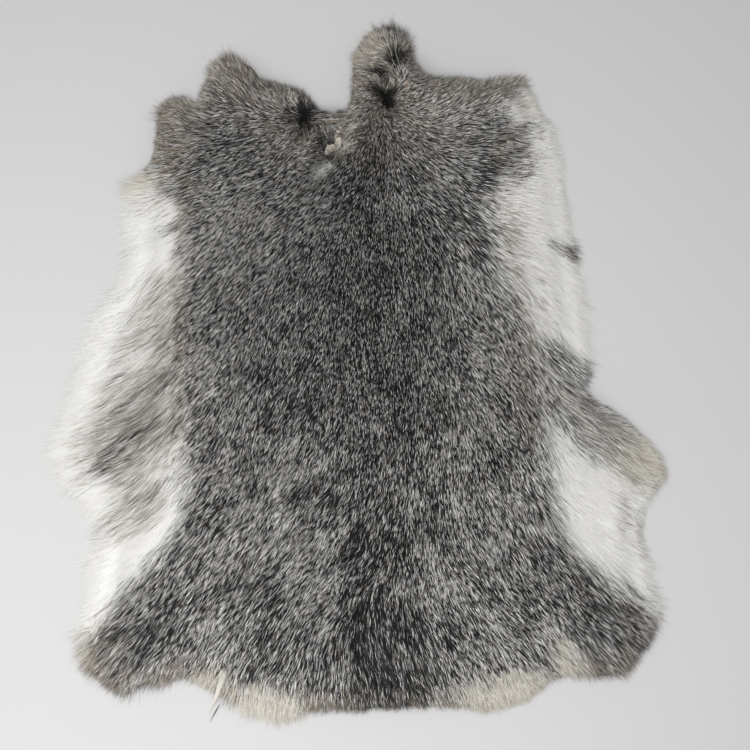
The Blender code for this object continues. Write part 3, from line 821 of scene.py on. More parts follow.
@dataclass(frozen=True)
class HideFinish:
    """Alum-tanned rabbit leather, suede-like on the flesh side: pale beige, cloudy, with a fine nap.

    Attributes:
        name: The material's name.
        pale: The leather's usual colour.
        warm: The colour of its warmer clouds.
        cloud_mm: The size of a cloud.
        cloud_edge: Where in the clouds' noise the warm colour ends and the pale one starts.
        nap_mm: The size of the nap's grain.
        bump_mm: How far the nap stands out.
        bump: How strongly that shows.
        roughness: The leather's roughness.
    """

    name: str = "alum-tanned hide"
    pale: str = "#d3cdc2"
    warm: str = "#b9b0a3"
    cloud_mm: float = 5.0
    cloud_edge: tuple[float, float] = (0.35, 0.65)
    nap_mm: float = 0.7
    bump_mm: float = 0.3
    bump: float = 0.5
    roughness: float = 0.8

    def dress(self) -> bpy.types.Material:
        """Makes the leather.

        Returns:
            The material.
        """
        material, tree, shader = new_material(self.name)
        place = add_node(tree, "ShaderNodeTexCoord")
        where = {"Vector": place.outputs["Object"]}
        grain = {"Scale": 1 / (self.cloud_mm * MM), "Detail": 4.0}
        clouds = add_node(tree, "ShaderNodeTexNoise", grain, where)
        colour = add_node(tree, "ShaderNodeValToRGB", links={0: clouds.outputs[0]})
        for stop, at, code in zip(colour.color_ramp.elements, self.cloud_edge, (self.warm, self.pale)):
            stop.position = at
            stop.color = linear(code)
        fine_grain = {"Scale": 1 / (self.nap_mm * MM), "Detail": 3.0}
        nap = add_node(tree, "ShaderNodeTexNoise", fine_grain, where)
        depth = {"Strength": self.bump, "Distance": self.bump_mm * MM}
        bump = add_node(tree, "ShaderNodeBump", depth, {"Height": nap.outputs[0]})
        tree.links.new(colour.outputs[0], shader.inputs["Base Color"])
        tree.links.new(bump.outputs[0], shader.inputs["Normal"])
        shader.inputs["Roughness"].default_value = self.roughness
        return material


@dataclass(frozen=True)
class FloorFinish:
    """A matt painted board: pale, even and without gloss.

    Attributes:
        name: The material's name.
        colour: The paint's colour.
        roughness: The paint's roughness.
        gloss: The strength of its faint sheen.
    """

    name: str = "matt painted board"
    colour: str = "#d3d3d3"
    roughness: float = 0.9
    gloss: float = 0.2

    def dress(self) -> bpy.types.Material:
        """Makes the floor's paint.

        Returns:
            The material.
        """
        material, _, shader = new_material(self.name)
        shader.inputs["Base Color"].default_value = linear(self.colour)
        shader.inputs["Roughness"].default_value = self.roughness
        shader.inputs["Specular IOR Level"].default_value = self.gloss
        return material


def compass(angle: Array) -> Array:
    """The way that leads along an angle in radians, as its shares across and along."""
    return np.stack((np.cos(angle), np.sin(angle)))


def smooth_noise(at: Array, span: float, pattern: Pattern) -> Array:
    """Soft random values from -1 to 1 that change over a distance.

    Args:
        at: The places.
        span: The distance over which the value changes.
        pattern: Whose random numbers they are.

    Returns:
        One value for each place.
    """
    size = NOISE_ROWS
    table = np.random.default_rng(pattern.value).uniform(-1, 1, (size, size))
    ix, iy = cell = np.floor(at / span).astype(int)
    part = at / span - cell
    fx, fy = part * part * (3 - 2 * part)
    low = table[ix % size, iy % size] * (1 - fx) + table[(ix + 1) % size, iy % size] * fx
    high = table[ix % size, (iy + 1) % size] * (1 - fx) + table[(ix + 1) % size, (iy + 1) % size] * fx
    return low * (1 - fy) + high * fy


def gathered(at: Array, spacing: float, pattern: Pattern) -> tuple[Array, Array]:
    """Gathers places into tufts round unevenly spread middles.

    Args:
        at: The places.
        spacing: The usual distance between two tufts.
        pattern: Whose random numbers spread the middles.

    Returns:
        Each place's tuft number, below TUFTS, and its tuft's middle.
    """
    size = TUFT_ROWS
    spread = np.random.default_rng(pattern.value).uniform(0.0, 1.0, (size, size, 2))
    home = np.floor(at / spacing).astype(int)
    best, number, middle = np.full(at.shape[1], np.inf), np.zeros(at.shape[1], int), np.zeros(at.shape)
    for step in product((-1, 0, 1), repeat=2):
        cell = home + np.array(step)[:, None]
        i, j = cell % size
        place = (cell + spread[i, j].T) * spacing
        apart = ((place - at) ** 2).sum(0)
        closer = apart < best
        best = np.where(closer, apart, best)
        number = np.where(closer, i * size + j, number)
        middle = np.where(closer, place, middle)
    return number, middle


def soft_oval(at: Array, oval: Relief | Marking, power: float = 1.0) -> Array:
    """The strength of a soft oval at places, from 1 in its middle to 0 outside.

    Args:
        at: The places.
        oval: Its middle, half lengths and heading.
        power: 1 fades evenly, and more keeps the oval full up to its border.

    Returns:
        One value for each place.
    """
    angle = math.radians(oval.heading)
    x, y = at[0] - oval.x, at[1] - oval.y
    along = x * math.cos(angle) + y * math.sin(angle)
    across = y * math.cos(angle) - x * math.sin(angle)
    return np.exp(-(((along / oval.along) ** 2 + (across / oval.across) ** 2) ** power))


def to_outline(at: Array, outline: Array) -> tuple[Array, Array, Array]:
    """Measures places against a closed outline.

    Args:
        at: The places.
        outline: The outline's points in order.

    Returns:
        The distance to the outline, above 0 inside it, the nearest side's number and how far along it the
        nearest point lies.
    """
    start, end = outline, np.roll(outline, -1, axis=0)
    run = end - start
    length2 = (run**2).sum(1)
    count = at.shape[1]
    distance, side, share = np.empty(count), np.empty(count, int), np.empty(count)
    # A few thousand places at a time keep the tables of places by sides small
    batch = 4000
    for first in range(0, count, batch):
        part = slice(first, first + batch)
        px, py = at[:, part, None]
        t = ((px - start[:, 0]) * run[:, 0] + (py - start[:, 1]) * run[:, 1]) / length2
        t = np.clip(t, 0, 1)
        apart = (px - start[:, 0] - t * run[:, 0]) ** 2 + (py - start[:, 1] - t * run[:, 1]) ** 2
        nearest = apart.argmin(1)
        rows = np.arange(len(nearest))
        above = (start[:, 1] > py) != (end[:, 1] > py)
        rise = np.where(run[:, 1] == 0, 1.0, run[:, 1])
        crossing = px < start[:, 0] + (py - start[:, 1]) * run[:, 0] / rise
        inside = (above & crossing).sum(1) % 2 == 1
        distance[part] = np.sqrt(apart[rows, nearest]) * np.where(inside, 1, -1)
        side[part], share[part] = nearest, t[rows, nearest]
    return distance, side, share


def smooth_loop(points: Array, steps: int) -> Array:
    """Draws a smooth closed curve through points.

    Args:
        points: The landmarks, in order.
        steps: How many points each stretch between two landmarks gets.

    Returns:
        The curve's points.
    """
    before, after, last = np.roll(points, 1, 0), np.roll(points, -1, 0), np.roll(points, -2, 0)
    t = (np.arange(steps) / steps)[None, :, None]
    a, b, c, d = before[:, None], points[:, None], after[:, None], last[:, None]
    curve = 0.5 * (
        2 * b + (c - a) * t + (2 * a - 5 * b + 4 * c - d) * t**2 + (3 * b - a - 3 * c + d) * t**3
    )
    return curve.reshape(-1, points.shape[1])


@dataclass
class LayOfTheFur:
    """The skin's form on an even grid of places: its edge, the fur's height, the hair's way and the coats.

    Attributes:
        step: The grid's pitch.
        half: How far the grid reaches from the middle, across and along.
        edge_steps: How many points the edge gets between two landmarks.
        border_steps: How many points a coat's outline gets between two.
        pile: Height of the fur over the back.
        wall: Height of the fur where the hide ends.
        fall: The shares of that height at the edge, halfway out in the fringe and at its tips.
        round_in: How far in from the edge the pile reaches its full height.
        relief_in: How far in from the edge folds reach their full height.
        least: Height of the fur in the deepest hollow.
        tuft_rise: Height of the fur's lumps, up and down.
        tuft_span: Their size across the hair.
        tuft_run: Their size along the hair.
        tuft_steps: How many places along the hair a lump is blended from.
        blend: How softly one heading or growth passes into the next.
        spread: Least share of an edge hair's way that leads straight off the hide.
        turn_out: How strongly a hair that lacks that share is turned.
        turn_within: How near to the edge hairs are turned.
        border: Half the width of the change from the saddle to the white.
        flank_border: Half the width of the change from the flank's streaks to the white.
        brown: How much of the saddle's hair is fawn past the edge.
        brown_span: The width of the change to that share, across the edge.
        flat: How much lower pale hair lies at the edge and inside it, as shares.
        even: How much less lumpy pale hair is, as a share.
        at: The grid's places.
        edge: The hide's edge: x, y and the fur's reach past it at each of its points.
        inward: How far inside the edge each place lies.
        reach: The fur's reach at the nearest edge.
        out: The way off that edge.
        way: Which way the hair lies.
        lumps: The rise of the fur's lumps.
        coats: The share of each area's coat.
        top: The height of the fur.
        length: The length of the drawn hair.
        width: The width of the drawn hair.
        patches: How strongly the coat is patched.
    """

    step: float = 1.5
    half: tuple[float, float] = (204.0, 228.0)
    edge_steps: int = 12
    border_steps: int = 6
    pile: float = 17.0
    wall: float = 7.5
    fall: tuple[float, float, float] = (1.0, 0.6, 0.0)
    round_in: float = 26.0
    relief_in: float = 8.0
    least: float = 3.5
    tuft_rise: float = 5.0
    tuft_span: float = 11.0
    tuft_run: float = 30.0
    tuft_steps: int = 5
    blend: float = 11.0
    spread: float = 0.45
    turn_out: float = 1.4
    turn_within: float = 10.0
    border: float = 6.0
    flank_border: float = 8.0
    brown: float = 0.75
    brown_span: float = 5.0
    flat: tuple[float, float] = (0.5, 0.38)
    even: float = 0.7
    at: Array = field(init=False)
    edge: Array = field(init=False)
    inward: Array = field(init=False)
    reach: Array = field(init=False)
    out: Array = field(init=False)
    way: Array = field(init=False)
    lumps: Array = field(init=False)
    coats: Array = field(init=False)
    top: Array = field(init=False)
    length: Array = field(init=False)
    width: Array = field(init=False)
    patches: Array = field(init=False)

    def __post_init__(self) -> None:
        """Works out the grid's values."""
        sides = [-half + np.arange(int(2 * half / self.step) + 1) * self.step for half in self.half]
        self.at = np.stack(np.meshgrid(*sides, indexing="ij"))
        self.edge = smooth_loop(np.array([(e.x, e.y, e.reach) for e in EDGES], float), self.edge_steps)
        self.inward, self.reach, self.out = self.off_the_edge()
        self.way = self.ways()
        self.lumps = self.tufts()
        self.coats = self.grown()
        self.top = self.heights()
        self.length, self.width, self.patches = self.growths()

    def off_the_edge(self) -> tuple[Array, Array, Array]:
        """Measures the grid against the hide's edge.

        Returns:
            How far inside each place lies, the fur's reach at the nearest edge, and the way off that edge.
        """
        distance, side, share = to_outline(self.at.reshape(2, -1), self.edge[:, :2])
        run = np.roll(self.edge, -1, axis=0) - self.edge
        reach = self.edge[side, 2] + run[side, 2] * share
        out = np.stack((run[side, 1], -run[side, 0])) / np.hypot(run[side, 0], run[side, 1])
        shape = self.at.shape
        return distance.reshape(shape[1:]), reach.reshape(shape[1:]), out.reshape(shape)

    def nearness(self, place: Lie | Growth) -> Array:
        """How strongly a landmark counts at each place of the grid."""
        return 1 / ((self.at[0] - place.x) ** 2 + (self.at[1] - place.y) ** 2 + self.blend**2) ** 2

    def ways(self) -> Array:
        """Blends the hair's way from the lies round each place, turned off the hide near its edge.

        Returns:
            The way's shares.
        """
        way = np.zeros(self.at.shape)
        for lie in LIES:
            way += self.nearness(lie) * compass(np.radians(lie.heading))[:, None, None]
        way /= np.hypot(*way)
        for whorl in WHORLS:
            away = np.stack((self.at[0] - whorl.x, self.at[1] - whorl.y))
            apart = np.hypot(*away)
            hold = np.exp(-((apart / whorl.span) ** 2))
            way += hold * (away / np.maximum(apart, 1e-6) - way)
        lacking = np.maximum(self.spread - way[0] * self.out[0] - way[1] * self.out[1], 0)
        way += self.out * (self.turn_out * lacking * np.clip(1 - self.inward / self.turn_within, 0, 1))
        return way / np.hypot(*way)

    def tufts(self) -> Array:
        """The fur's lumps, drawn out along the hair.

        Returns:
            Their rise at each place.
        """
        total = np.zeros(self.inward.shape)
        for step in range(self.tuft_steps):
            shift = self.tuft_run * (step / (self.tuft_steps - 1) - 0.5)
            here = (self.at + self.way * shift) / self.tuft_span
            values = [noise.noise(Vector((x, y, 0))) for x, y in zip(*here.reshape(2, -1))]
            total += np.array(values).reshape(total.shape)
        return self.tuft_rise * total / self.tuft_steps

    def heights(self) -> Array:
        """The top of the fur, rounded off towards the edge and falling to the floor past it.

        Returns:
            The height at each place.
        """
        inside = np.maximum(self.inward, 0)
        pale = self.coats[Area.STREAKED.value :].sum(0)
        crown = (1 - (1 - np.minimum(inside / self.round_in, 1)) ** 2) ** (0.5 + 0.5 * pale)
        relief = sum(form.rise * soft_oval(self.at, form) for form in RELIEFS)
        wall = self.wall * (1 - self.flat[0] * pale)
        top = wall + (self.pile * (1 - self.flat[1] * pale) - wall) * crown
        lumps = self.lumps * (1 - self.even * pale)
        top += relief * np.minimum(inside / self.relief_in, 1) + lumps
        past = np.clip(-self.inward / self.reach, 0, 1)
        outside = (wall + lumps) * np.interp(past, (0, 0.5, 1), self.fall)
        return np.where(self.inward > 0, np.maximum(top, self.least), outside)

    def grown(self) -> Array:
        """Which coats grow where.

        Returns:
            The share of each area's coat at each place.
        """
        saddle = self.within(SADDLE, self.border)
        flank = self.within(FLANK, self.flank_border) * (1 - saddle)
        brown = saddle * np.clip(0.5 - self.inward / self.brown_span, 0, 1) * self.brown
        shares = np.zeros((len(Area), *self.inward.shape))
        shares[Area.SADDLE.value] = saddle - brown
        shares[Area.FAWN.value] = brown
        shares[Area.STREAKED.value] = flank
        shares[Area.WHITE.value] = 1 - saddle - flank
        for mark in MARKINGS:
            strength = mark.strength * soft_oval(self.at, mark, FULL)
            shares *= 1 - strength
            shares[mark.area.value] += strength
        return shares

    def within(self, borders: tuple[Border, ...], softness: float) -> Array:
        """How far the grid's places lie within a coat's outline.

        Args:
            borders: The outline's landmarks.
            softness: Half the width of the change at the outline.

        Returns:
            Shares from 0 outside to 1 inside.
        """
        outline = smooth_loop(np.array([(b.x, b.y) for b in borders], float), self.border_steps)
        inward, _, _ = to_outline(self.at.reshape(2, -1), outline)
        return np.clip(0.5 + inward.reshape(self.inward.shape) / (2 * softness), 0, 1)

    def growths(self) -> Array:
        """Blends the hair's length and width and the coat's patches.

        Returns:
            The lengths, the widths and the strength of the patches.
        """
        values, total = np.zeros((3, *self.inward.shape)), np.zeros(self.inward.shape)
        for growth in GROWTHS:
            weight = self.nearness(growth)
            values += weight * np.array((growth.length, growth.width, growth.patches))[:, None, None]
            total += weight
        return values / total

    def read(self, values: Array, at: Array) -> Array:
        """Reads grid values between the grid's places.

        Args:
            values: One of the grid's tables, or several stacked.
            at: The places.

        Returns:
            The blended value at each place.
        """
        last = [[size - 1.001] for size in self.inward.shape]
        steps = np.clip((at + np.array(self.half)[:, None]) / self.step, 0, last)
        ix, iy = cell = steps.astype(int)
        fx, fy = steps - cell
        low = values[..., ix, iy] * (1 - fx) + values[..., ix + 1, iy] * fx
        high = values[..., ix, iy + 1] * (1 - fx) + values[..., ix + 1, iy + 1] * fx
        return low * (1 - fy) + high * fy


def mesh_object(name: str, points: Array, triangles: Array) -> bpy.types.Object:
    """Makes a mesh object of triangles.

    Args:
        name: The object's name.
        points: Its points in millimetres.
        triangles: Three point numbers for each triangle.

    Returns:
        The object, linked to the scene.
    """
    mesh = bpy.data.meshes.new(name)
    mesh.vertices.add(len(points))
    mesh.vertices.foreach_set("co", (points * MM).astype(np.float32).ravel())
    mesh.loops.add(3 * len(triangles))
    mesh.loops.foreach_set("vertex_index", triangles.astype(np.int32).ravel())
    mesh.polygons.add(len(triangles))
    mesh.polygons.foreach_set("loop_start", np.arange(0, 3 * len(triangles), 3, dtype=np.int32))
    mesh.update(calc_edges=True)
    piece = bpy.data.objects.new(name, mesh)
    bpy.context.scene.collection.objects.link(piece)
    return piece


def carried(piece: bpy.types.Object) -> bpy.types.Object:
    """Makes a piece ride on the skin's body, in place of its solid.

    Args:
        piece: The piece.

    Returns:
        The piece.
    """
    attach(piece, BODY)
    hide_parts(NODE)
    LOG.info("%s: %d triangles", piece.name, len(piece.data.polygons))
    return piece


def even_places(half_width: float, half_length: float, spacing: float) -> Array:
    """Spreads places over a rectangle round the middle, in staggered rows.

    Args:
        half_width: Half the rectangle's width.
        half_length: Half its length.
        spacing: The distance between two places in a row.

    Returns:
        The places.
    """
    rows = np.arange(-half_length, half_length, spacing * math.sqrt(3) / 2)
    columns = np.arange(-half_width, half_width, spacing)
    x, y = np.meshgrid(columns, rows)
    x = x + (np.arange(len(rows)) % 2)[:, None] * spacing / 2
    return np.stack((x.ravel(), y.ravel()))


def filled(rim: Array, places: Array) -> tuple[Array, Array]:
    """Fills an outline with triangles through places inside it.

    Args:
        rim: The outline's points, which come first in the result.
        places: The places.

    Returns:
        The places of all points, and each triangle's three numbers.
    """
    points = [Vector(p) for p in rim.tolist() + places.T.tolist()]
    ring = list(range(len(rim)))
    sides = [(k, (k + 1) % len(rim)) for k in ring]
    made, _, faces, _, _, _ = delaunay_2d_cdt(points, sides, [ring], 1, 1e-4)
    return np.array([p[:] for p in made]).T, np.array(faces)


def rim_walls(ring: int, below: int) -> Array:
    """Joins an outline to its copy below it, with two triangles for each side.

    Args:
        ring: How many points the outline has. They are the first ones.
        below: The number of the copy's first point.

    Returns:
        Three point numbers for each triangle.
    """
    here = np.arange(ring)
    after = (here + 1) % ring
    outer = np.column_stack((here + below, after + below, after))
    return np.concatenate((outer, np.column_stack((here + below, after, here))))


@dataclass
class Hide:
    """The tanned skin itself, a thin sheet that lies flat, with its torn edge turned up in the neck.

    Attributes:
        lay: The lay of the fur.
        thickness: The leather's thickness.
        edge_step: Which points of the edge it takes: every third.
        inset: How far the sheet stays inside them.
        spacing: The pitch of its facets.
        fine: The pitch at the tear in the neck.
        clear: How far inside its rim the first facet corners lie.
        tear: The tear's middle and how far round it the pitch is fine.
        folds: Where the torn edge stands up.
        fold_power: How full a fold stays up to its border.
        ragged: How far the folds' outline strays, and over what distance.
        crumple: How uneven their height is, and over what distance.
    """

    lay: LayOfTheFur
    thickness: float = 1.2
    edge_step: int = 3
    inset: float = 1.0
    spacing: float = 5.0
    fine: float = 0.7
    clear: float = 1.6
    tear: tuple[float, float, float] = (-13.0, 129.0, 13.0)
    folds: tuple[Relief, ...] = (
        Relief("bead", -10, 138, 2.4, 2.0, 60, 9),
        Relief("turned up edge", -10.5, 131.5, 4.8, 2.5, 105, 10),
        Relief("lower fold", -14, 128, 7, 1.9, 34, 10.5),
    )
    fold_power: float = 1.4
    ragged: tuple[float, float] = (0.9, 2.4)
    crumple: tuple[float, float] = (0.4, 1.5)

    def build(self) -> bpy.types.Object:
        """Returns:
            The sheet.
        """
        rim = self.lay.edge[:: self.edge_step, :2]
        outward = rim - rim.mean(0)
        rim = rim - outward / np.linalg.norm(outward, axis=1)[:, None] * self.inset
        at, faces = filled(rim, self.inside_places(rim))
        rise = self.rise(at)
        upper, lower = np.column_stack((*at, rise + self.thickness)), np.column_stack((*at, rise))
        count = len(rise)
        triangles = np.concatenate((faces, faces[:, ::-1] + count, rim_walls(len(rim), count)))
        sheet = mesh_object("hide", np.concatenate((upper, lower)), triangles)
        sheet.data.materials.append(HideFinish().dress())
        return carried(sheet)

    def inside_places(self, rim: Array) -> Array:
        """Spreads facet corners over the sheet, closer together at the torn edge.

        Args:
            rim: The sheet's outline.

        Returns:
            The places.
        """
        x, y, near = self.tear
        coarse = even_places(*self.lay.half, self.spacing)
        fine = even_places(near, near, self.fine)
        coarse = coarse[:, np.hypot(coarse[0] - x, coarse[1] - y) > near + self.spacing / 2]
        places = np.concatenate((coarse, fine[:, np.hypot(*fine) < near] + [[x], [y]]), axis=1)
        distance, _, _ = to_outline(places, rim)
        return places[:, distance > self.clear]

    def rise(self, at: Array) -> Array:
        """How far the leather stands up from the floor, with the torn edge's ragged folds.

        Args:
            at: The places.

        Returns:
            One height for each place.
        """
        stray, span = self.ragged
        ragged = [smooth_noise(at, span, Pattern.RAGGED_ACROSS), smooth_noise(at, span, Pattern.RAGGED_ALONG)]
        near = at + stray * np.stack(ragged)
        folds = np.max([fold.rise * soft_oval(near, fold, self.fold_power) for fold in self.folds], axis=0)
        uneven, span = self.crumple
        return folds * (1 + uneven * smooth_noise(at, span, Pattern.CRUMPLE))


@dataclass
class Underfur:
    """The dense wool that stands on the hide, as one lumpy surface that the guard hair hides.

    Attributes:
        lay: The lay of the fur.
        cover: How much of the pile's height the guard hair takes.
        cover_at: How far inside the edge each of these values holds.
        least: The surface's height in the deepest hollows.
        least_at: How far inside the edge each of these values holds.
        spacing: The pitch of its facets.
        uneven: How far a facet's corner strays, as a share of that pitch.
        clear: How far inside its rim the first ones lie, as a share of it.
        edge_step: Which points of the edge its rim follows: every second.
        skirt: How far it follows the fringe, as a share of the fur's reach.
        droop: How its height falls towards its rim, as a power.
        rim: Height of its rim.
        foot: Height of the rim's lower border.
        tones: The undercolour of each coat, and near-black painted shade for the shaded hollows.
        seed: Picks the random numbers.
    """

    lay: LayOfTheFur
    cover: tuple[float, float, float] = (1.2, 2.6, 4.2)
    cover_at: tuple[float, float, float] = (-6.0, 0.0, 14.0)
    least: tuple[float, float] = (0.3, 1.7)
    least_at: tuple[float, float] = (-3.0, 0.0)
    spacing: float = 3.2
    uneven: float = 0.3
    clear: float = 0.6
    edge_step: int = 2
    skirt: float = 0.5
    droop: float = 1.2
    rim: float = 0.3
    foot: float = 0.1
    tones: dict[Area, str] = field(
        default_factory=lambda: {
            Area.SADDLE: "#343537",
            Area.SILVER: "#3c3d3f",
            Area.SPINE: "#28282a",
            # Painted shade: near-black wool in the hollows
            Area.HOLLOW: "#131313",
            Area.FAWN: "#6e6862",
            Area.STREAKED: "#b8b5af",
            Area.SMOKY: "#8a8783",
            Area.CREAM: "#ece5d6",
            Area.WHITE: "#faf9f6",
        }
    )
    seed: int = 5

    def level(self, at: Array) -> Array:
        """The surface's height at places, past the edge too.

        Args:
            at: The places.

        Returns:
            The heights.
        """
        inward = self.lay.read(self.lay.inward, at)
        cover = np.interp(inward, self.cover_at, self.cover)
        least = np.interp(inward, self.least_at, self.least)
        return np.maximum(self.lay.read(self.lay.top, at) - cover, least)

    def build(self) -> bpy.types.Object:
        """Makes the surface, with its edge drawn down to the hide.

        Returns:
            The piece.
        """
        rim = self.outline()
        places = even_places(*self.lay.half, self.spacing)
        rng = np.random.default_rng(self.seed)
        places = places + rng.uniform(-self.uneven, self.uneven, places.T.shape).T * self.spacing
        distance, _, _ = to_outline(places, rim)
        at, faces = filled(rim, places[:, distance > self.spacing * self.clear])
        past = -self.lay.read(self.lay.inward, at) / (self.skirt * self.lay.read(self.lay.reach, at))
        fall = (1 - np.clip(past, 0, 1)) ** self.droop
        upper = np.column_stack((*at, self.rim + self.level(at) * fall))
        foot = np.column_stack((rim, np.full(len(rim), self.foot)))
        triangles = np.concatenate((faces, rim_walls(len(rim), len(upper))))
        piece = mesh_object("underfur", np.concatenate((upper, foot)), triangles)
        piece.data.shade_smooth()
        self.colour(piece, np.concatenate((at, rim.T), axis=1))
        piece.data.materials.append(UnderfurFinish().dress())
        return carried(piece)

    def outline(self) -> Array:
        """The surface's outline, pushed out from the hide's edge by a share of the fur's reach.

        Returns:
            Its points.
        """
        edge = self.lay.edge[:: self.edge_step]
        run = np.roll(edge[:, :2], -1, axis=0) - np.roll(edge[:, :2], 1, axis=0)
        outward = np.column_stack((run[:, 1], -run[:, 0])) / np.linalg.norm(run, axis=1)[:, None]
        return edge[:, :2] + outward * edge[:, 2:] * self.skirt

    def colour(self, piece: bpy.types.Object, at: Array) -> None:
        """Gives each point the undercolour of the coat that grows there, with painted shade where the hollows
        lie.

        Args:
            piece: The surface.
            at: Its points' places.
        """
        tones = np.array([linear(self.tones[area]) for area in Area])
        colours = self.lay.read(self.lay.coats, at).T @ tones
        layer = piece.data.color_attributes.new(UNDERCOLOUR_AND_SHADE, "FLOAT_COLOR", "POINT")
        layer.data.foreach_set("color", colours.astype(np.float32).ravel())


@dataclass
class Hairs:
    """Single hairs, ready to be joined into a piece.

    Attributes:
        path: Each hair's points from root to tip, in millimetres.
        side: The direction of each hair's width.
        width: Each hair's width.
        kind: Each hair's kind, by number.
        shade: Each hair's shade in its kind, from 0 to 1.
        band: The part of its kind's colours that each hair shows, from root to tip.
    """

    path: Array
    side: Array
    width: Array
    kind: Array
    shade: Array
    band: Array

    def rows(self) -> list[Array]:
        """The hairs' values, in the order of the fields."""
        return [getattr(self, row.name) for row in fields(self)]

    def part(self, chosen: Array) -> Hairs:
        """Some of the hairs, by number."""
        return Hairs(*[row[chosen] for row in self.rows()])

    def with_more(self, others: Hairs) -> Hairs:
        """These hairs and others."""
        return Hairs(*[np.concatenate(both) for both in zip(self.rows(), others.rows())])

    def joined(self, name: str, materials: list[bpy.types.Material]) -> bpy.types.Object:
        """Joins the hairs into one piece of narrow blades with pointed ends.

        Args:
            name: The piece's name.
            materials: The material of each kind of hair.

        Returns:
            The piece, with its hair map and its materials.
        """
        half = (self.side * self.width[:, None] / 2)[:, None]
        knees = self.path[:, 1:-1]
        count = knees.shape[1]
        pairs = np.stack((knees - half, knees + half), axis=2).reshape(len(half), -1, 3)
        points = np.concatenate((self.path[:, :1], pairs, self.path[:, -1:]), axis=1)
        rows = [(0, 2, 1)]
        for left in range(1, 2 * count - 1, 2):
            rows += [(left, left + 1, left + 3), (left, left + 3, left + 2)]
        rows.append((2 * count - 1, 2 * count, 2 * count + 1))
        triangles = np.array(rows)[None] + (np.arange(len(half)) * points.shape[1])[:, None, None]
        piece = mesh_object(name, points.reshape(-1, 3), triangles.reshape(-1, 3))
        self.map_hairs(piece, np.array(rows), count)
        for material in materials:
            piece.data.materials.append(material)
        numbers = np.repeat(self.kind, len(rows)).astype(np.int32)
        piece.data.polygons.foreach_set("material_index", numbers)
        return piece

    def map_hairs(self, piece: bpy.types.Object, rows: Array, knees: int) -> None:
        """Lays each hair on its kind's column of the map, as a sliver from root to tip.

        Args:
            piece: The joined piece.
            rows: The triangles of one hair.
            knees: How many widened places a hair has.
        """
        edge, sliver = 0.04, 1 / 1024
        across = (self.kind + edge + (1 - 2 * edge) * self.shade) / len(Hair)
        lengths = np.linalg.norm(np.diff(self.path, axis=1), axis=2)
        along = np.concatenate((np.zeros((len(across), 1)), np.cumsum(lengths, axis=1)), axis=1)
        along = self.band[:, :1] + (self.band[:, 1:] - self.band[:, :1]) * along / along[:, -1:]
        u = np.concatenate(([0.0], np.tile([-sliver, sliver], knees), [0.0]))
        knot = np.concatenate(([0], np.repeat(np.arange(1, knees + 1), 2), [knees + 1]))
        corner_u = across[:, None] + u[rows.ravel()][None]
        corner_v = along[:, knot[rows.ravel()]]
        layer = piece.data.uv_layers.new(name=HAIR_MAP)
        layer.uv.foreach_set("vector", np.stack((corner_u, corner_v), axis=2).astype(np.float32).ravel())


@dataclass(frozen=True)
class HairChoice:
    """How each hair's kind follows from the coats where it shows, with dark streaks along the left flank.

    Attributes:
        lay: The lay of the fur.
        heading: The streaks' heading, in degrees.
        broad: Length and width of the broad streaks.
        fine: Length and width of the fine ones.
        strength: How strong the broad ones and the fine ones are.
        streaked: How much of the streaks shows in the streaked coat, where all of it shows in the smoky one.
        guard: How much more black hair a streak has, as a power of e.
        slate: How much more slate hair it has.
        white: How much less white hair it has.
        bounds: The least and the most that a darker or lighter place changes a kind's share.
    """

    lay: LayOfTheFur
    heading: float = 38.0
    broad: tuple[float, float] = (17.0, 2.2)
    fine: tuple[float, float] = (9.0, 0.9)
    strength: tuple[float, float] = (0.9, 0.8)
    streaked: float = 0.5
    guard: float = 2.0
    slate: float = 1.6
    white: float = 2.4
    bounds: tuple[float, float] = (0.1, 3.0)

    def kinds(self, at: Array, chance: Array, mottle: Array) -> Array:
        """Picks each hair's kind.

        Args:
            at: The places where the hairs show.
            chance: A chance from 0 to 1 for each hair.
            mottle: Above 0 where the coat is darker than usual, below 0 where lighter.

        Returns:
            The kinds, by number.
        """
        coats = self.lay.read(self.lay.coats, at)
        shares = coats.T @ np.array([MIXES[area] for area in Area])
        streak = self.streaks(at) * (self.streaked * coats[Area.STREAKED.value] + coats[Area.SMOKY.value])
        shares[:, Hair.GUARD.value] *= np.clip(1 + mottle, *self.bounds) * np.exp(self.guard * streak)
        shares[:, Hair.TICKED.value] *= np.clip(1 - mottle, *self.bounds)
        shares[:, Hair.SLATE.value] *= np.exp(self.slate * streak)
        shares[:, Hair.WHITE.value] *= np.exp(-self.white * streak)
        running = np.cumsum(shares, axis=1)
        running /= running[:, -1:]
        return (running < chance[:, None]).sum(1).clip(0, len(Hair) - 1)

    def streaks(self, at: Array) -> Array:
        """Long narrow streaks along the hair of the left flank.

        Args:
            at: The places.

        Returns:
            Values from -1 to 1, above 0 where dark.
        """
        angle = math.radians(self.heading)
        run = at[0] * math.cos(angle) + at[1] * math.sin(angle)
        off = at[1] * math.cos(angle) - at[0] * math.sin(angle)
        broad, fine = [np.stack((run / length, off / width)) for length, width in (self.broad, self.fine)]
        broad = self.strength[0] * smooth_noise(broad, 1.0, Pattern.STREAKS)
        return np.clip(broad + self.strength[1] * smooth_noise(fine, 1.0, Pattern.FINE_STREAKS), -1, 1)


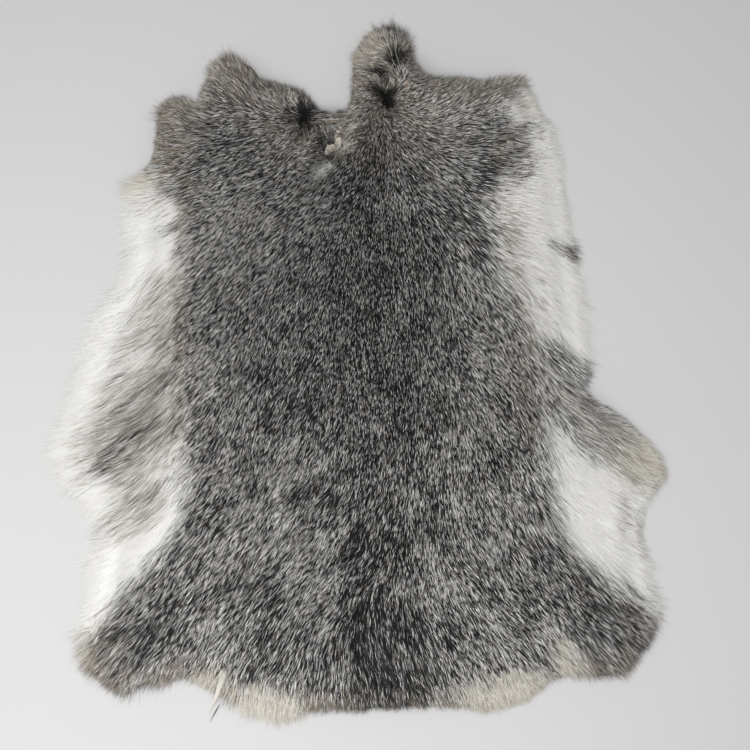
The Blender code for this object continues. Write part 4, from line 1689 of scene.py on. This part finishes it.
@dataclass
class DrawnHair:
    """What the coat's hair and the fringe's have in common.

    Attributes:
        lay: The lay of the fur.
        choice: What decides each hair's kind.
        hairs: How many hairs are drawn.
        tries: How many places are tried for each.
        tuft: The width of a tuft, which lies its own way.
        shows: How far along its length a hair shows its colour.
        knee: Where along its length a hair is widest and bends.
        roll: How far dark hairs are rolled about their length, in degrees either way.
        roll_pale: How far pale ones are, which shade each other less.
        widths: A hair's least and most share of the usual width.
        root_band: Where its band of colours starts, at the least and the most.
        tip_band: Where it ends.
        seed: Picks the random numbers.
    """

    lay: LayOfTheFur
    choice: HairChoice
    hairs: int = 370_000
    tries: int = 6
    tuft: float = 6.5
    shows: float = 0.6
    knee: float = 0.52
    roll: float = 38.0
    roll_pale: float = 20.0
    widths: tuple[float, float] = (0.7, 1.1)
    root_band: tuple[float, float] = (0.0, 0.15)
    tip_band: tuple[float, float] = (0.88, 1.0)
    seed: int = 3

    def scattered(self, rng: np.random.Generator, many: int) -> Array:
        """Scatters places over the rectangle round the hide."""
        sides = zip(self.lay.edge[:, :2].min(0), self.lay.edge[:, :2].max(0))
        return np.stack([rng.uniform(low, high, many) for low, high in sides])

    def sides(self, rng: np.random.Generator, path: Array, kind: Array) -> Array:
        """The direction of each hair's width, rolled by chance."""
        roll = np.where(kind >= Hair.SMOKE.value, self.roll_pale, self.roll)
        return sideways(path, roll * rng.uniform(-1, 1, len(kind)))

    def bands(self, rng: np.random.Generator, count: int) -> Array:
        """The part of its kind's colours that each hair shows."""
        return np.column_stack((rng.uniform(*self.root_band, count), rng.uniform(*self.tip_band, count)))


def sideways(path: Array, roll: Array) -> Array:
    """The direction of each hair's width, square to its way and rolled about it.

    Args:
        path: The hairs' points.
        roll: How far each is rolled, in degrees.

    Returns:
        Unit directions.
    """
    way = path[:, -1] - path[:, 0]
    flat = np.column_stack((way[:, 1], -way[:, 0], np.zeros(len(way))))
    flat /= np.linalg.norm(flat, axis=1)[:, None]
    up = np.cross(flat, way)
    up /= np.linalg.norm(up, axis=1)[:, None]
    turn = np.radians(roll)[:, None]
    return flat * np.cos(turn) + up * np.sin(turn)


@dataclass
class Coat(DrawnHair):
    """The guard hair over the whole skin, gathered in ticks and looser tufts.

    Attributes:
        underfur: The wool under the hair.
        pieces: The names of the pieces, from the neck to the tail.
        closest: The drawn size of the hair, in square millimetres, where the roots stand closest together.
        tick: The width of a tick, a few hairs of one kind side by side, at the tail and at the neck.
        tick_ends: The places along the skin that these widths belong to.
        draw_in: How far a hair's root is drawn to the middle of its tick.
        stray: The share of hairs that keep to no tick, at the tail and at the neck.
        stray_ends: The places along the skin that these shares belong to.
        turns: How far headings stray, in degrees: by tuft, by tick and by hair.
        tick_length: The shortest tick's share of the usual length, and what chance adds.
        hair_length: A hair's least and most share of its tick's length.
        past: How far past the edge a hair comes, as shares of the fur's reach: all, by tuft and by hair.
        aslant: The least share of its way that leads off the edge, where its length is cut to that reach.
        lift: How far the lowest tip stands over the wool, and what chance adds by tick and by hair.
        settle: How much closer white hair lies to the wool than grey hair.
        sunk: How far a root lies below the wool's surface.
        knee_lift: How far a hair's knee stands over the wool, as a share of its tip's lift.
        frayed: How far along the hair a coat's border strays from tuft to tuft, in all.
        clump: The width of the darker and lighter clumps, and how far along the hair they run to each side.
        fine_clump: The width of the finer ones in them, and how strong they are beside the others.
        cloud: How strongly the coat is clouded, and how wide a cloud is.
        shades: How far shades differ by tick, by mottle and by hair.
        dim: How much darker every kind of hair is along the spine.
    """

    underfur: Underfur = field(kw_only=True)
    pieces: tuple[str, ...] = ("neck_fur", "shoulder_fur", "loin_fur", "rump_fur")
    closest: float = 0.8
    tick: tuple[float, float] = (0.56, 0.36)
    tick_ends: tuple[float, float] = (-190.0, 190.0)
    draw_in: float = 0.7
    stray: tuple[float, float] = (0.05, 0.15)
    stray_ends: tuple[float, float] = (-100.0, 180.0)
    turns: tuple[float, float, float] = (5.0, 3.5, 2.5)
    tick_length: tuple[float, float] = (0.78, 0.44)
    hair_length: tuple[float, float] = (0.9, 1.06)
    past: tuple[float, float, float] = (0.35, 0.4, 0.3)
    aslant: float = 0.3
    lift: tuple[float, float, float] = (0.8, 2.4, 0.8)
    settle: float = 0.45
    sunk: float = 0.4
    knee_lift: float = 0.7
    frayed: float = 7.0
    clump: tuple[float, float] = (8.5, 3.5)
    fine_clump: tuple[float, float] = (4.2, 0.7)
    cloud: tuple[float, float] = (0.25, 24.0)
    shades: tuple[float, float, float] = (0.9, 0.25, 0.2)
    dim: float = 0.3

    def roots(self, rng: np.random.Generator) -> Array:
        """Spreads the roots over the hide, closer where the hair is short, and thinner where the hide is bare
        or the hollows' painted shade is to show.

        Args:
            rng: The random numbers.

        Returns:
            The roots' places.
        """
        lay, many = self.lay, self.tries * self.hairs
        at = self.scattered(rng, many)
        kept = lay.read(lay.inward, at) > 0
        cover = lay.read(lay.length, at) * lay.read(lay.width, at)
        kept &= rng.uniform(0, 1, many) < self.closest / cover
        # Thins the hair at the torn edge and in the hollows, where the underfur's painted shade shows
        for spot in BARE:
            kept &= rng.uniform(0, 1, many) > spot.strength * soft_oval(at, spot, FULL)
        return at[:, kept][:, : self.hairs]

    def grow(self) -> Hairs:
        """Grows the hairs.

        Returns:
            All of them.
        """
        lay, rng = self.lay, np.random.default_rng(self.seed)
        at = self.roots(rng)
        count = at.shape[1]
        spacing = np.interp(at[1], self.tick_ends, self.tick)
        tick, middle = gathered(at / spacing, 1.0, Pattern.TICKS)
        tuft, _ = gathered(at, self.tuft, Pattern.TUFTS)
        at = at + (middle * spacing - at) * self.draw_in

        # Chances that the hairs of a tick or of a tuft share, by its number
        lifts, frays, kinds, shades, lengths = rng.uniform(0, 1, (5, TUFTS))
        by_tuft, by_tick, by_hair = self.turns
        turn = rng.normal(0, by_tuft, TUFTS)[tuft] + rng.normal(0, by_tick, TUFTS)[tick]
        way = lay.read(lay.way, at)
        heading = compass(np.arctan2(way[1], way[0]) + np.radians(turn + rng.normal(0, by_hair, count)))
        shortest, longer = self.tick_length
        length = lay.read(lay.length, at) * (shortest + longer * lengths[tick])
        length *= rng.uniform(*self.hair_length, count)
        out = (heading * lay.read(lay.out, at)).sum(0)
        past = self.past[0] + self.past[1] * shades[tuft] + self.past[2] * rng.uniform(0, 1, count)
        room = lay.read(lay.inward, at) + lay.read(lay.reach, at) * past
        length = np.minimum(length, room / np.clip(out, self.aslant, 1))
        lowest, by_tick, by_hair = self.lift
        lift = lowest + by_tick * lifts[tick] + by_hair * rng.uniform(0, 1, count)
        lift *= 1 - self.settle * lay.read(lay.coats[Area.WHITE.value], at)

        seen = at + heading * (length * self.shows + self.frayed * (frays[tuft] - 0.5))
        cloud, span = self.cloud
        mottle = lay.read(lay.patches, at) * self.clumps(seen)
        mottle += cloud * smooth_noise(at, span, Pattern.CLOUDS)
        white = lay.read(lay.coats[Area.STREAKED.value :], seen).sum(0)
        stray = rng.uniform(0, 1, count) < np.maximum(np.interp(at[1], self.stray_ends, self.stray), white)
        kind = self.choice.kinds(seen, np.where(stray, rng.uniform(0, 1, count), kinds[tick]), mottle)
        by_tick, by_mottle, by_hair = self.shades
        shade = 0.5 + by_tick * (shades[tick] - 0.5) - by_mottle * mottle
        shade += rng.uniform(-by_hair, by_hair, count)
        shade -= self.dim * lay.read(lay.coats[Area.SPINE.value], seen)

        path = self.paths(at, heading * length, lift)
        side = self.sides(rng, path, kind)
        width = lay.read(lay.width, at) * rng.uniform(*self.widths, count)
        return Hairs(path, side, width, kind, np.clip(shade, 0, 1), self.bands(rng, count))

    def clumps(self, at: Array) -> Array:
        """How much darker or lighter the coat is in clumps, which are drawn out along the hair.

        Args:
            at: The places.

        Returns:
            One value for each place, above 0 where darker.
        """
        (span, run), (fine_span, fine) = self.clump, self.fine_clump
        total = np.zeros(at.shape[1])
        way = self.lay.read(self.lay.way, at)
        for shift in (-run, 0.0, run):
            here = at + way * shift
            total += smooth_noise(here, span, Pattern.CLUMPS)
            total += fine * smooth_noise(here, fine_span, Pattern.FINE_CLUMPS)
        return 0.5 * total

    def paths(self, at: Array, away: Array, lift: Array) -> Array:
        """Lays hairs along the fur from their roots.

        Args:
            at: The roots' places.
            away: How far each tip lies from its root.
            lift: How far it stands over the underfur.

        Returns:
            Each hair's root, knee and tip.
        """
        knots = []
        for share, rise in ((0.0, -self.sunk), (self.knee, lift * self.knee_lift), (1.0, lift)):
            here = at + away * share
            knots.append(np.column_stack((*here, self.underfur.level(here) + rise)))
        return np.stack(knots, axis=1)

    def build(self, materials: list[bpy.types.Material]) -> list[bpy.types.Object]:
        """Joins the hairs into pieces of equal count, in bands from the neck to the tail.

        Args:
            materials: The material of each kind of hair.

        Returns:
            The pieces.
        """
        grown = self.grow()
        order = np.argsort(-grown.path[:, 0, 1], kind="stable")
        parts = zip(self.pieces, np.array_split(order, len(self.pieces)))
        return [carried(grown.part(chosen).joined(name, materials)) for name, chosen in parts]


class LooseLock(NamedTuple):
    """A lock that leaves the fringe: its root's place and width, its heading, length and hairs."""

    place: str
    x: float
    y: float
    heading: float
    length: float
    width: float
    hairs: int
    hair: Hair


@dataclass
class Fringe(DrawnHair):
    """The long soft hair at the hide's edge, which falls past it to the floor.

    Its first fields are its own values for what DrawnHair names.

    Attributes:
        band: How far in from the edge the hairs are rooted.
        crowd: How much closer together they stand at the edge itself, as a power.
        turns: How far headings stray, in degrees: by lock and by hair.
        bend: How far a hair is bent from root to tip, in degrees.
        gather: How far a hair's tip is drawn to its lock's, at the left side and at the right one.
        gather_ends: The places across the skin that these values belong to.
        shortest: The shortest hairs' share of the fur's reach.
        sparse: How quickly dark hairs and white ones get fewer towards that reach.
        stretch: A lock's least and most share of that reach.
        aslant: The least share of its way that leads off the edge, which its length follows from.
        layers: Where between the floor and the fur's top hairs lie, at the least and the most.
        lowest: The height of the lowest hair over the floor.
        under: How far below the fur's top the highest one stays.
        mottle: How strongly the fringe is mottled, and how wide a patch is.
        shades: How far shades differ by mottle and by hair.
        width: The drawn width of a short hair.
        fine: How much narrower the longest hairs are, as a share.
        locks: Single locks that stand out of the skirt.
        lock_lengths: Their hairs' least and most share of a lock's length.
        lock_spread: How wide a lock is at its root, knee and tip, as shares.
        lock_top: How high over the fur its highest hair lies.
        lock_width: How wide its hairs are, as a share of the usual width.
        lock_shades: Their shades, at the least and the most.
        lock_band: The part of their kind's colours that they show.
    """

    hairs: int = 92_000
    tries: int = 14
    tuft: float = 5.0
    knee: float = 0.45
    roll: float = 35.0
    roll_pale: float = 18.0
    widths: tuple[float, float] = (0.75, 1.25)
    root_band: tuple[float, float] = (0.0, 0.45)
    tip_band: tuple[float, float] = (0.7, 1.0)
    seed: int = 8
    band: float = 11.0
    crowd: float = 0.6
    turns: tuple[float, float] = (6.0, 6.0)
    bend: float = 8.0
    gather: tuple[float, float] = (0.12, 0.34)
    gather_ends: tuple[float, float] = (-60.0, 90.0)
    shortest: float = 0.35
    sparse: tuple[float, float] = (1.4, 0.95)
    stretch: tuple[float, float] = (0.7, 1.08)
    aslant: float = 0.65
    layers: tuple[float, float] = (0.05, 1.0)
    lowest: float = 0.35
    under: float = 0.6
    mottle: tuple[float, float] = (0.4, 6.0)
    shades: tuple[float, float] = (0.2, 0.35)
    width: float = 0.3
    fine: float = 0.4
    locks: tuple[LooseLock, ...] = (
        LooseLock("pale lock by the tail", -72, -168, 248, 28, 0.8, 60, Hair.CREAM),
        LooseLock("grey wisp by the tail", -75, -186, 240, 17, 0.3, 5, Hair.SLATE),
    )
    lock_lengths: tuple[float, float] = (0.6, 1.0)
    lock_spread: tuple[float, float, float] = (1.0, 0.8, 0.15)
    lock_top: float = 0.9
    lock_width: float = 0.7
    lock_shades: tuple[float, float] = (0.2, 0.8)
    lock_band: tuple[float, float] = (0.1, 0.9)

    def roots(self, rng: np.random.Generator) -> tuple[Array, Array]:
        """Spreads the roots along the edge, closest together at the edge itself.

        Args:
            rng: The random numbers.

        Returns:
            The roots' places, and how far inside the edge they lie.
        """
        many = self.tries * self.hairs
        at = self.scattered(rng, many)
        inward = self.lay.read(self.lay.inward, at)
        near = (inward > 0) & (inward < self.band * rng.uniform(0, 1, many) ** self.crowd)
        return at[:, near][:, : self.hairs], inward[near][: self.hairs]

    def grow(self) -> Hairs:
        """Grows the fringe.

        Returns:
            Its hairs.
        """
        lay, rng = self.lay, np.random.default_rng(self.seed)
        at, inward = self.roots(rng)
        count = len(inward)
        tuft, middle = gathered(at, self.tuft, Pattern.LOCKS)
        turn = rng.normal(0, self.turns[0], TUFTS)[tuft] + rng.normal(0, self.turns[1], count)
        stretch = rng.uniform(*self.stretch, TUFTS)[tuft]
        way = lay.read(lay.way, at)
        out = (way * lay.read(lay.out, at)).sum(0)
        sparse = np.interp(lay.read(lay.coats[Area.STREAKED.value :], at).sum(0), (0, 1), self.sparse)
        share = self.shortest + (1 - self.shortest) * rng.uniform(0, 1, count) ** sparse
        reach = lay.read(lay.reach, at) * share * stretch
        length = (reach + inward) / np.clip(out, self.aslant, 1)
        angle = np.arctan2(way[1], way[0]) + np.radians(turn)
        layer = rng.uniform(*self.layers, count)
        bend = np.radians(rng.normal(0, self.bend, count))

        gather = np.interp(at[0], self.gather_ends, self.gather)
        knots = []
        for part in (0.0, self.knee, 1.0):
            away = compass(angle + bend * part) * length * part
            pull = gather * part**2
            here = (at + away) * (1 - pull) + (middle + away) * pull
            rise = self.lowest + layer * np.maximum(lay.read(lay.top, here) - self.under, 0)
            knots.append(np.column_stack((*here, rise)))
        path = np.stack(knots, axis=1)

        mottle = self.mottle[0] * smooth_noise(at, self.mottle[1], Pattern.FRINGE)
        seen = at + compass(angle) * length * self.shows
        kind = self.choice.kinds(seen, rng.uniform(0, 1, count), mottle)
        by_mottle, by_hair = self.shades
        shade = np.clip(0.5 - by_mottle * mottle + rng.uniform(-by_hair, by_hair, count), 0, 1)
        width = self.width * (1 - self.fine * share) * rng.uniform(*self.widths, count)
        return Hairs(path, self.sides(rng, path, kind), width, kind, shade, self.bands(rng, count))

    def loose(self, lock: LooseLock) -> Hairs:
        """Grows one loose lock, whose hairs draw together towards its tip.

        Args:
            lock: The lock.

        Returns:
            Its hairs.
        """
        rng = np.random.default_rng(self.seed)
        count, heading = lock.hairs, math.radians(lock.heading)
        way, aside = compass(heading)[:, None], np.array([[-math.sin(heading)], [math.cos(heading)]])
        across = rng.normal(0, 1, count) * lock.width
        length = lock.length * rng.uniform(*self.lock_lengths, count)
        knots = []
        for part, spread in zip((0.0, self.knee, 1.0), self.lock_spread):
            here = np.array([[lock.x], [lock.y]]) + way * length * part + aside * across * spread
            rise = np.maximum(self.lay.read(self.lay.top, here), 0)
            rise += rng.uniform(self.lowest, self.lock_top, count)
            knots.append(np.column_stack((*here, rise)))
        path = np.stack(knots, axis=1)
        side = sideways(path, rng.uniform(-self.roll, self.roll, count))
        width, kind = np.full(count, self.width * self.lock_width), np.full(count, lock.hair.value)
        shade = rng.uniform(*self.lock_shades, count)
        return Hairs(path, side, width, kind, shade, np.tile(self.lock_band, (count, 1)))

    def build(self, materials: list[bpy.types.Material]) -> bpy.types.Object:
        """Joins the fringe into one piece.

        Args:
            materials: The material of each kind of hair.

        Returns:
            The piece.
        """
        grown = self.grow()
        for lock in self.locks:
            grown = grown.with_more(self.loose(lock))
        return carried(grown.joined("fringe", materials))


@dataclass
class Studio:
    """The floor, the light and the camera.

    Attributes:
        elevation: The camera's angle over the floor, in degrees.
        lens: The camera's focal length in millimetres.
        sensor: The width of its sensor in millimetres.
        view_width: The width of the picture where the skin lies, in millimetres.
        aim: The place in the middle of the picture, in millimetres.
        near: How near the camera sees, in metres.
        far: How far it sees.
        floor_side: The floor's side, in metres.
        lamp_place: Where the soft light hangs, in metres.
        lamp_side: Its side, in metres.
        lamp_power: Its power in watts.
        lamp_colour: Its colour.
        surround_colour: The colour of the light from all round.
        surround: The strength of that light.
    """

    elevation: float = 82.0
    lens: float = 120.0
    sensor: float = 36.0
    view_width: float = 423.75
    aim: tuple[float, float, float] = (10.2, -2.3, 0.0)
    near: float = 0.05
    far: float = 20.0
    floor_side: float = 6.0
    lamp_place: tuple[float, float, float] = (-0.2, -0.25, 0.65)
    lamp_side: float = 0.5
    lamp_power: float = 4.08
    lamp_colour: str = "#ffffff"
    surround_colour: str = "#fafafb"
    surround: float = 0.48

    def floor(self) -> None:
        """Lays the floor."""
        half = self.floor_side / 2 / MM
        corners = np.array([(-half, -half, 0), (half, -half, 0), (half, half, 0), (-half, half, 0)], float)
        ground = mesh_object("floor", corners, np.array([(0, 1, 2), (0, 2, 3)]))
        ground.data.materials.append(FloorFinish().dress())
        ground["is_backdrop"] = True

    def light(self) -> None:
        """Hangs one soft box over the skin's left side, in an even surround."""
        data = bpy.data.lights.new("soft box", "AREA")
        data.shape = "SQUARE"
        data.size = self.lamp_side
        data.energy = self.lamp_power
        data.color = linear(self.lamp_colour)[:3]
        lamp = bpy.data.objects.new("soft box", data)
        lamp.location = self.lamp_place
        lamp.rotation_euler = Vector(self.lamp_place).to_track_quat("Z", "Y").to_euler()
        bpy.context.scene.collection.objects.link(lamp)
        world = bpy.data.worlds.new("soft surround")
        world.use_nodes = True
        back = world.node_tree.nodes["Background"]
        back.inputs["Color"].default_value = linear(self.surround_colour)
        back.inputs["Strength"].default_value = self.surround
        bpy.context.scene.world = world

    def camera(self) -> None:
        """Sets up the camera over the skin."""
        data = bpy.data.cameras.new("camera")
        data.sensor_width = self.sensor
        data.lens = self.lens
        data.clip_start, data.clip_end = self.near, self.far
        away = self.view_width * self.lens / data.sensor_width
        angle = math.radians(self.elevation)
        back = Vector((0, -math.cos(angle), math.sin(angle)))
        camera = bpy.data.objects.new("camera", data)
        camera.location = (Vector(self.aim) + back * away) * MM
        camera.rotation_euler = back.to_track_quat("Z", "Y").to_euler()
        bpy.context.scene.collection.objects.link(camera)
        bpy.context.scene.camera = camera
        bpy.context.scene.view_settings.view_transform = "Standard"

    def build(self) -> None:
        """Sets up the studio."""
        self.floor()
        self.light()
        self.camera()


def corners() -> list[list[float]]:
    """The shown object's lowest and highest corners, as plain lists."""
    return [list(corner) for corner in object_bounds()]


def main() -> None:
    """Builds and dresses the skin, and reports each piece."""
    logging.basicConfig(level=logging.INFO, format="%(name)s: %(message)s")
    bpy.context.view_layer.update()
    Studio().build()
    materials = [HAIR_FINISHES[hair].dress() for hair in Hair]
    lay = LayOfTheFur()
    choice = HairChoice(lay)
    underfur = Underfur(lay)
    Hide(lay).build()
    underfur.build()
    Coat(lay, choice, underfur=underfur).build(materials)
    Fringe(lay, choice).build(materials)


if __name__ == "__main__":
    main()
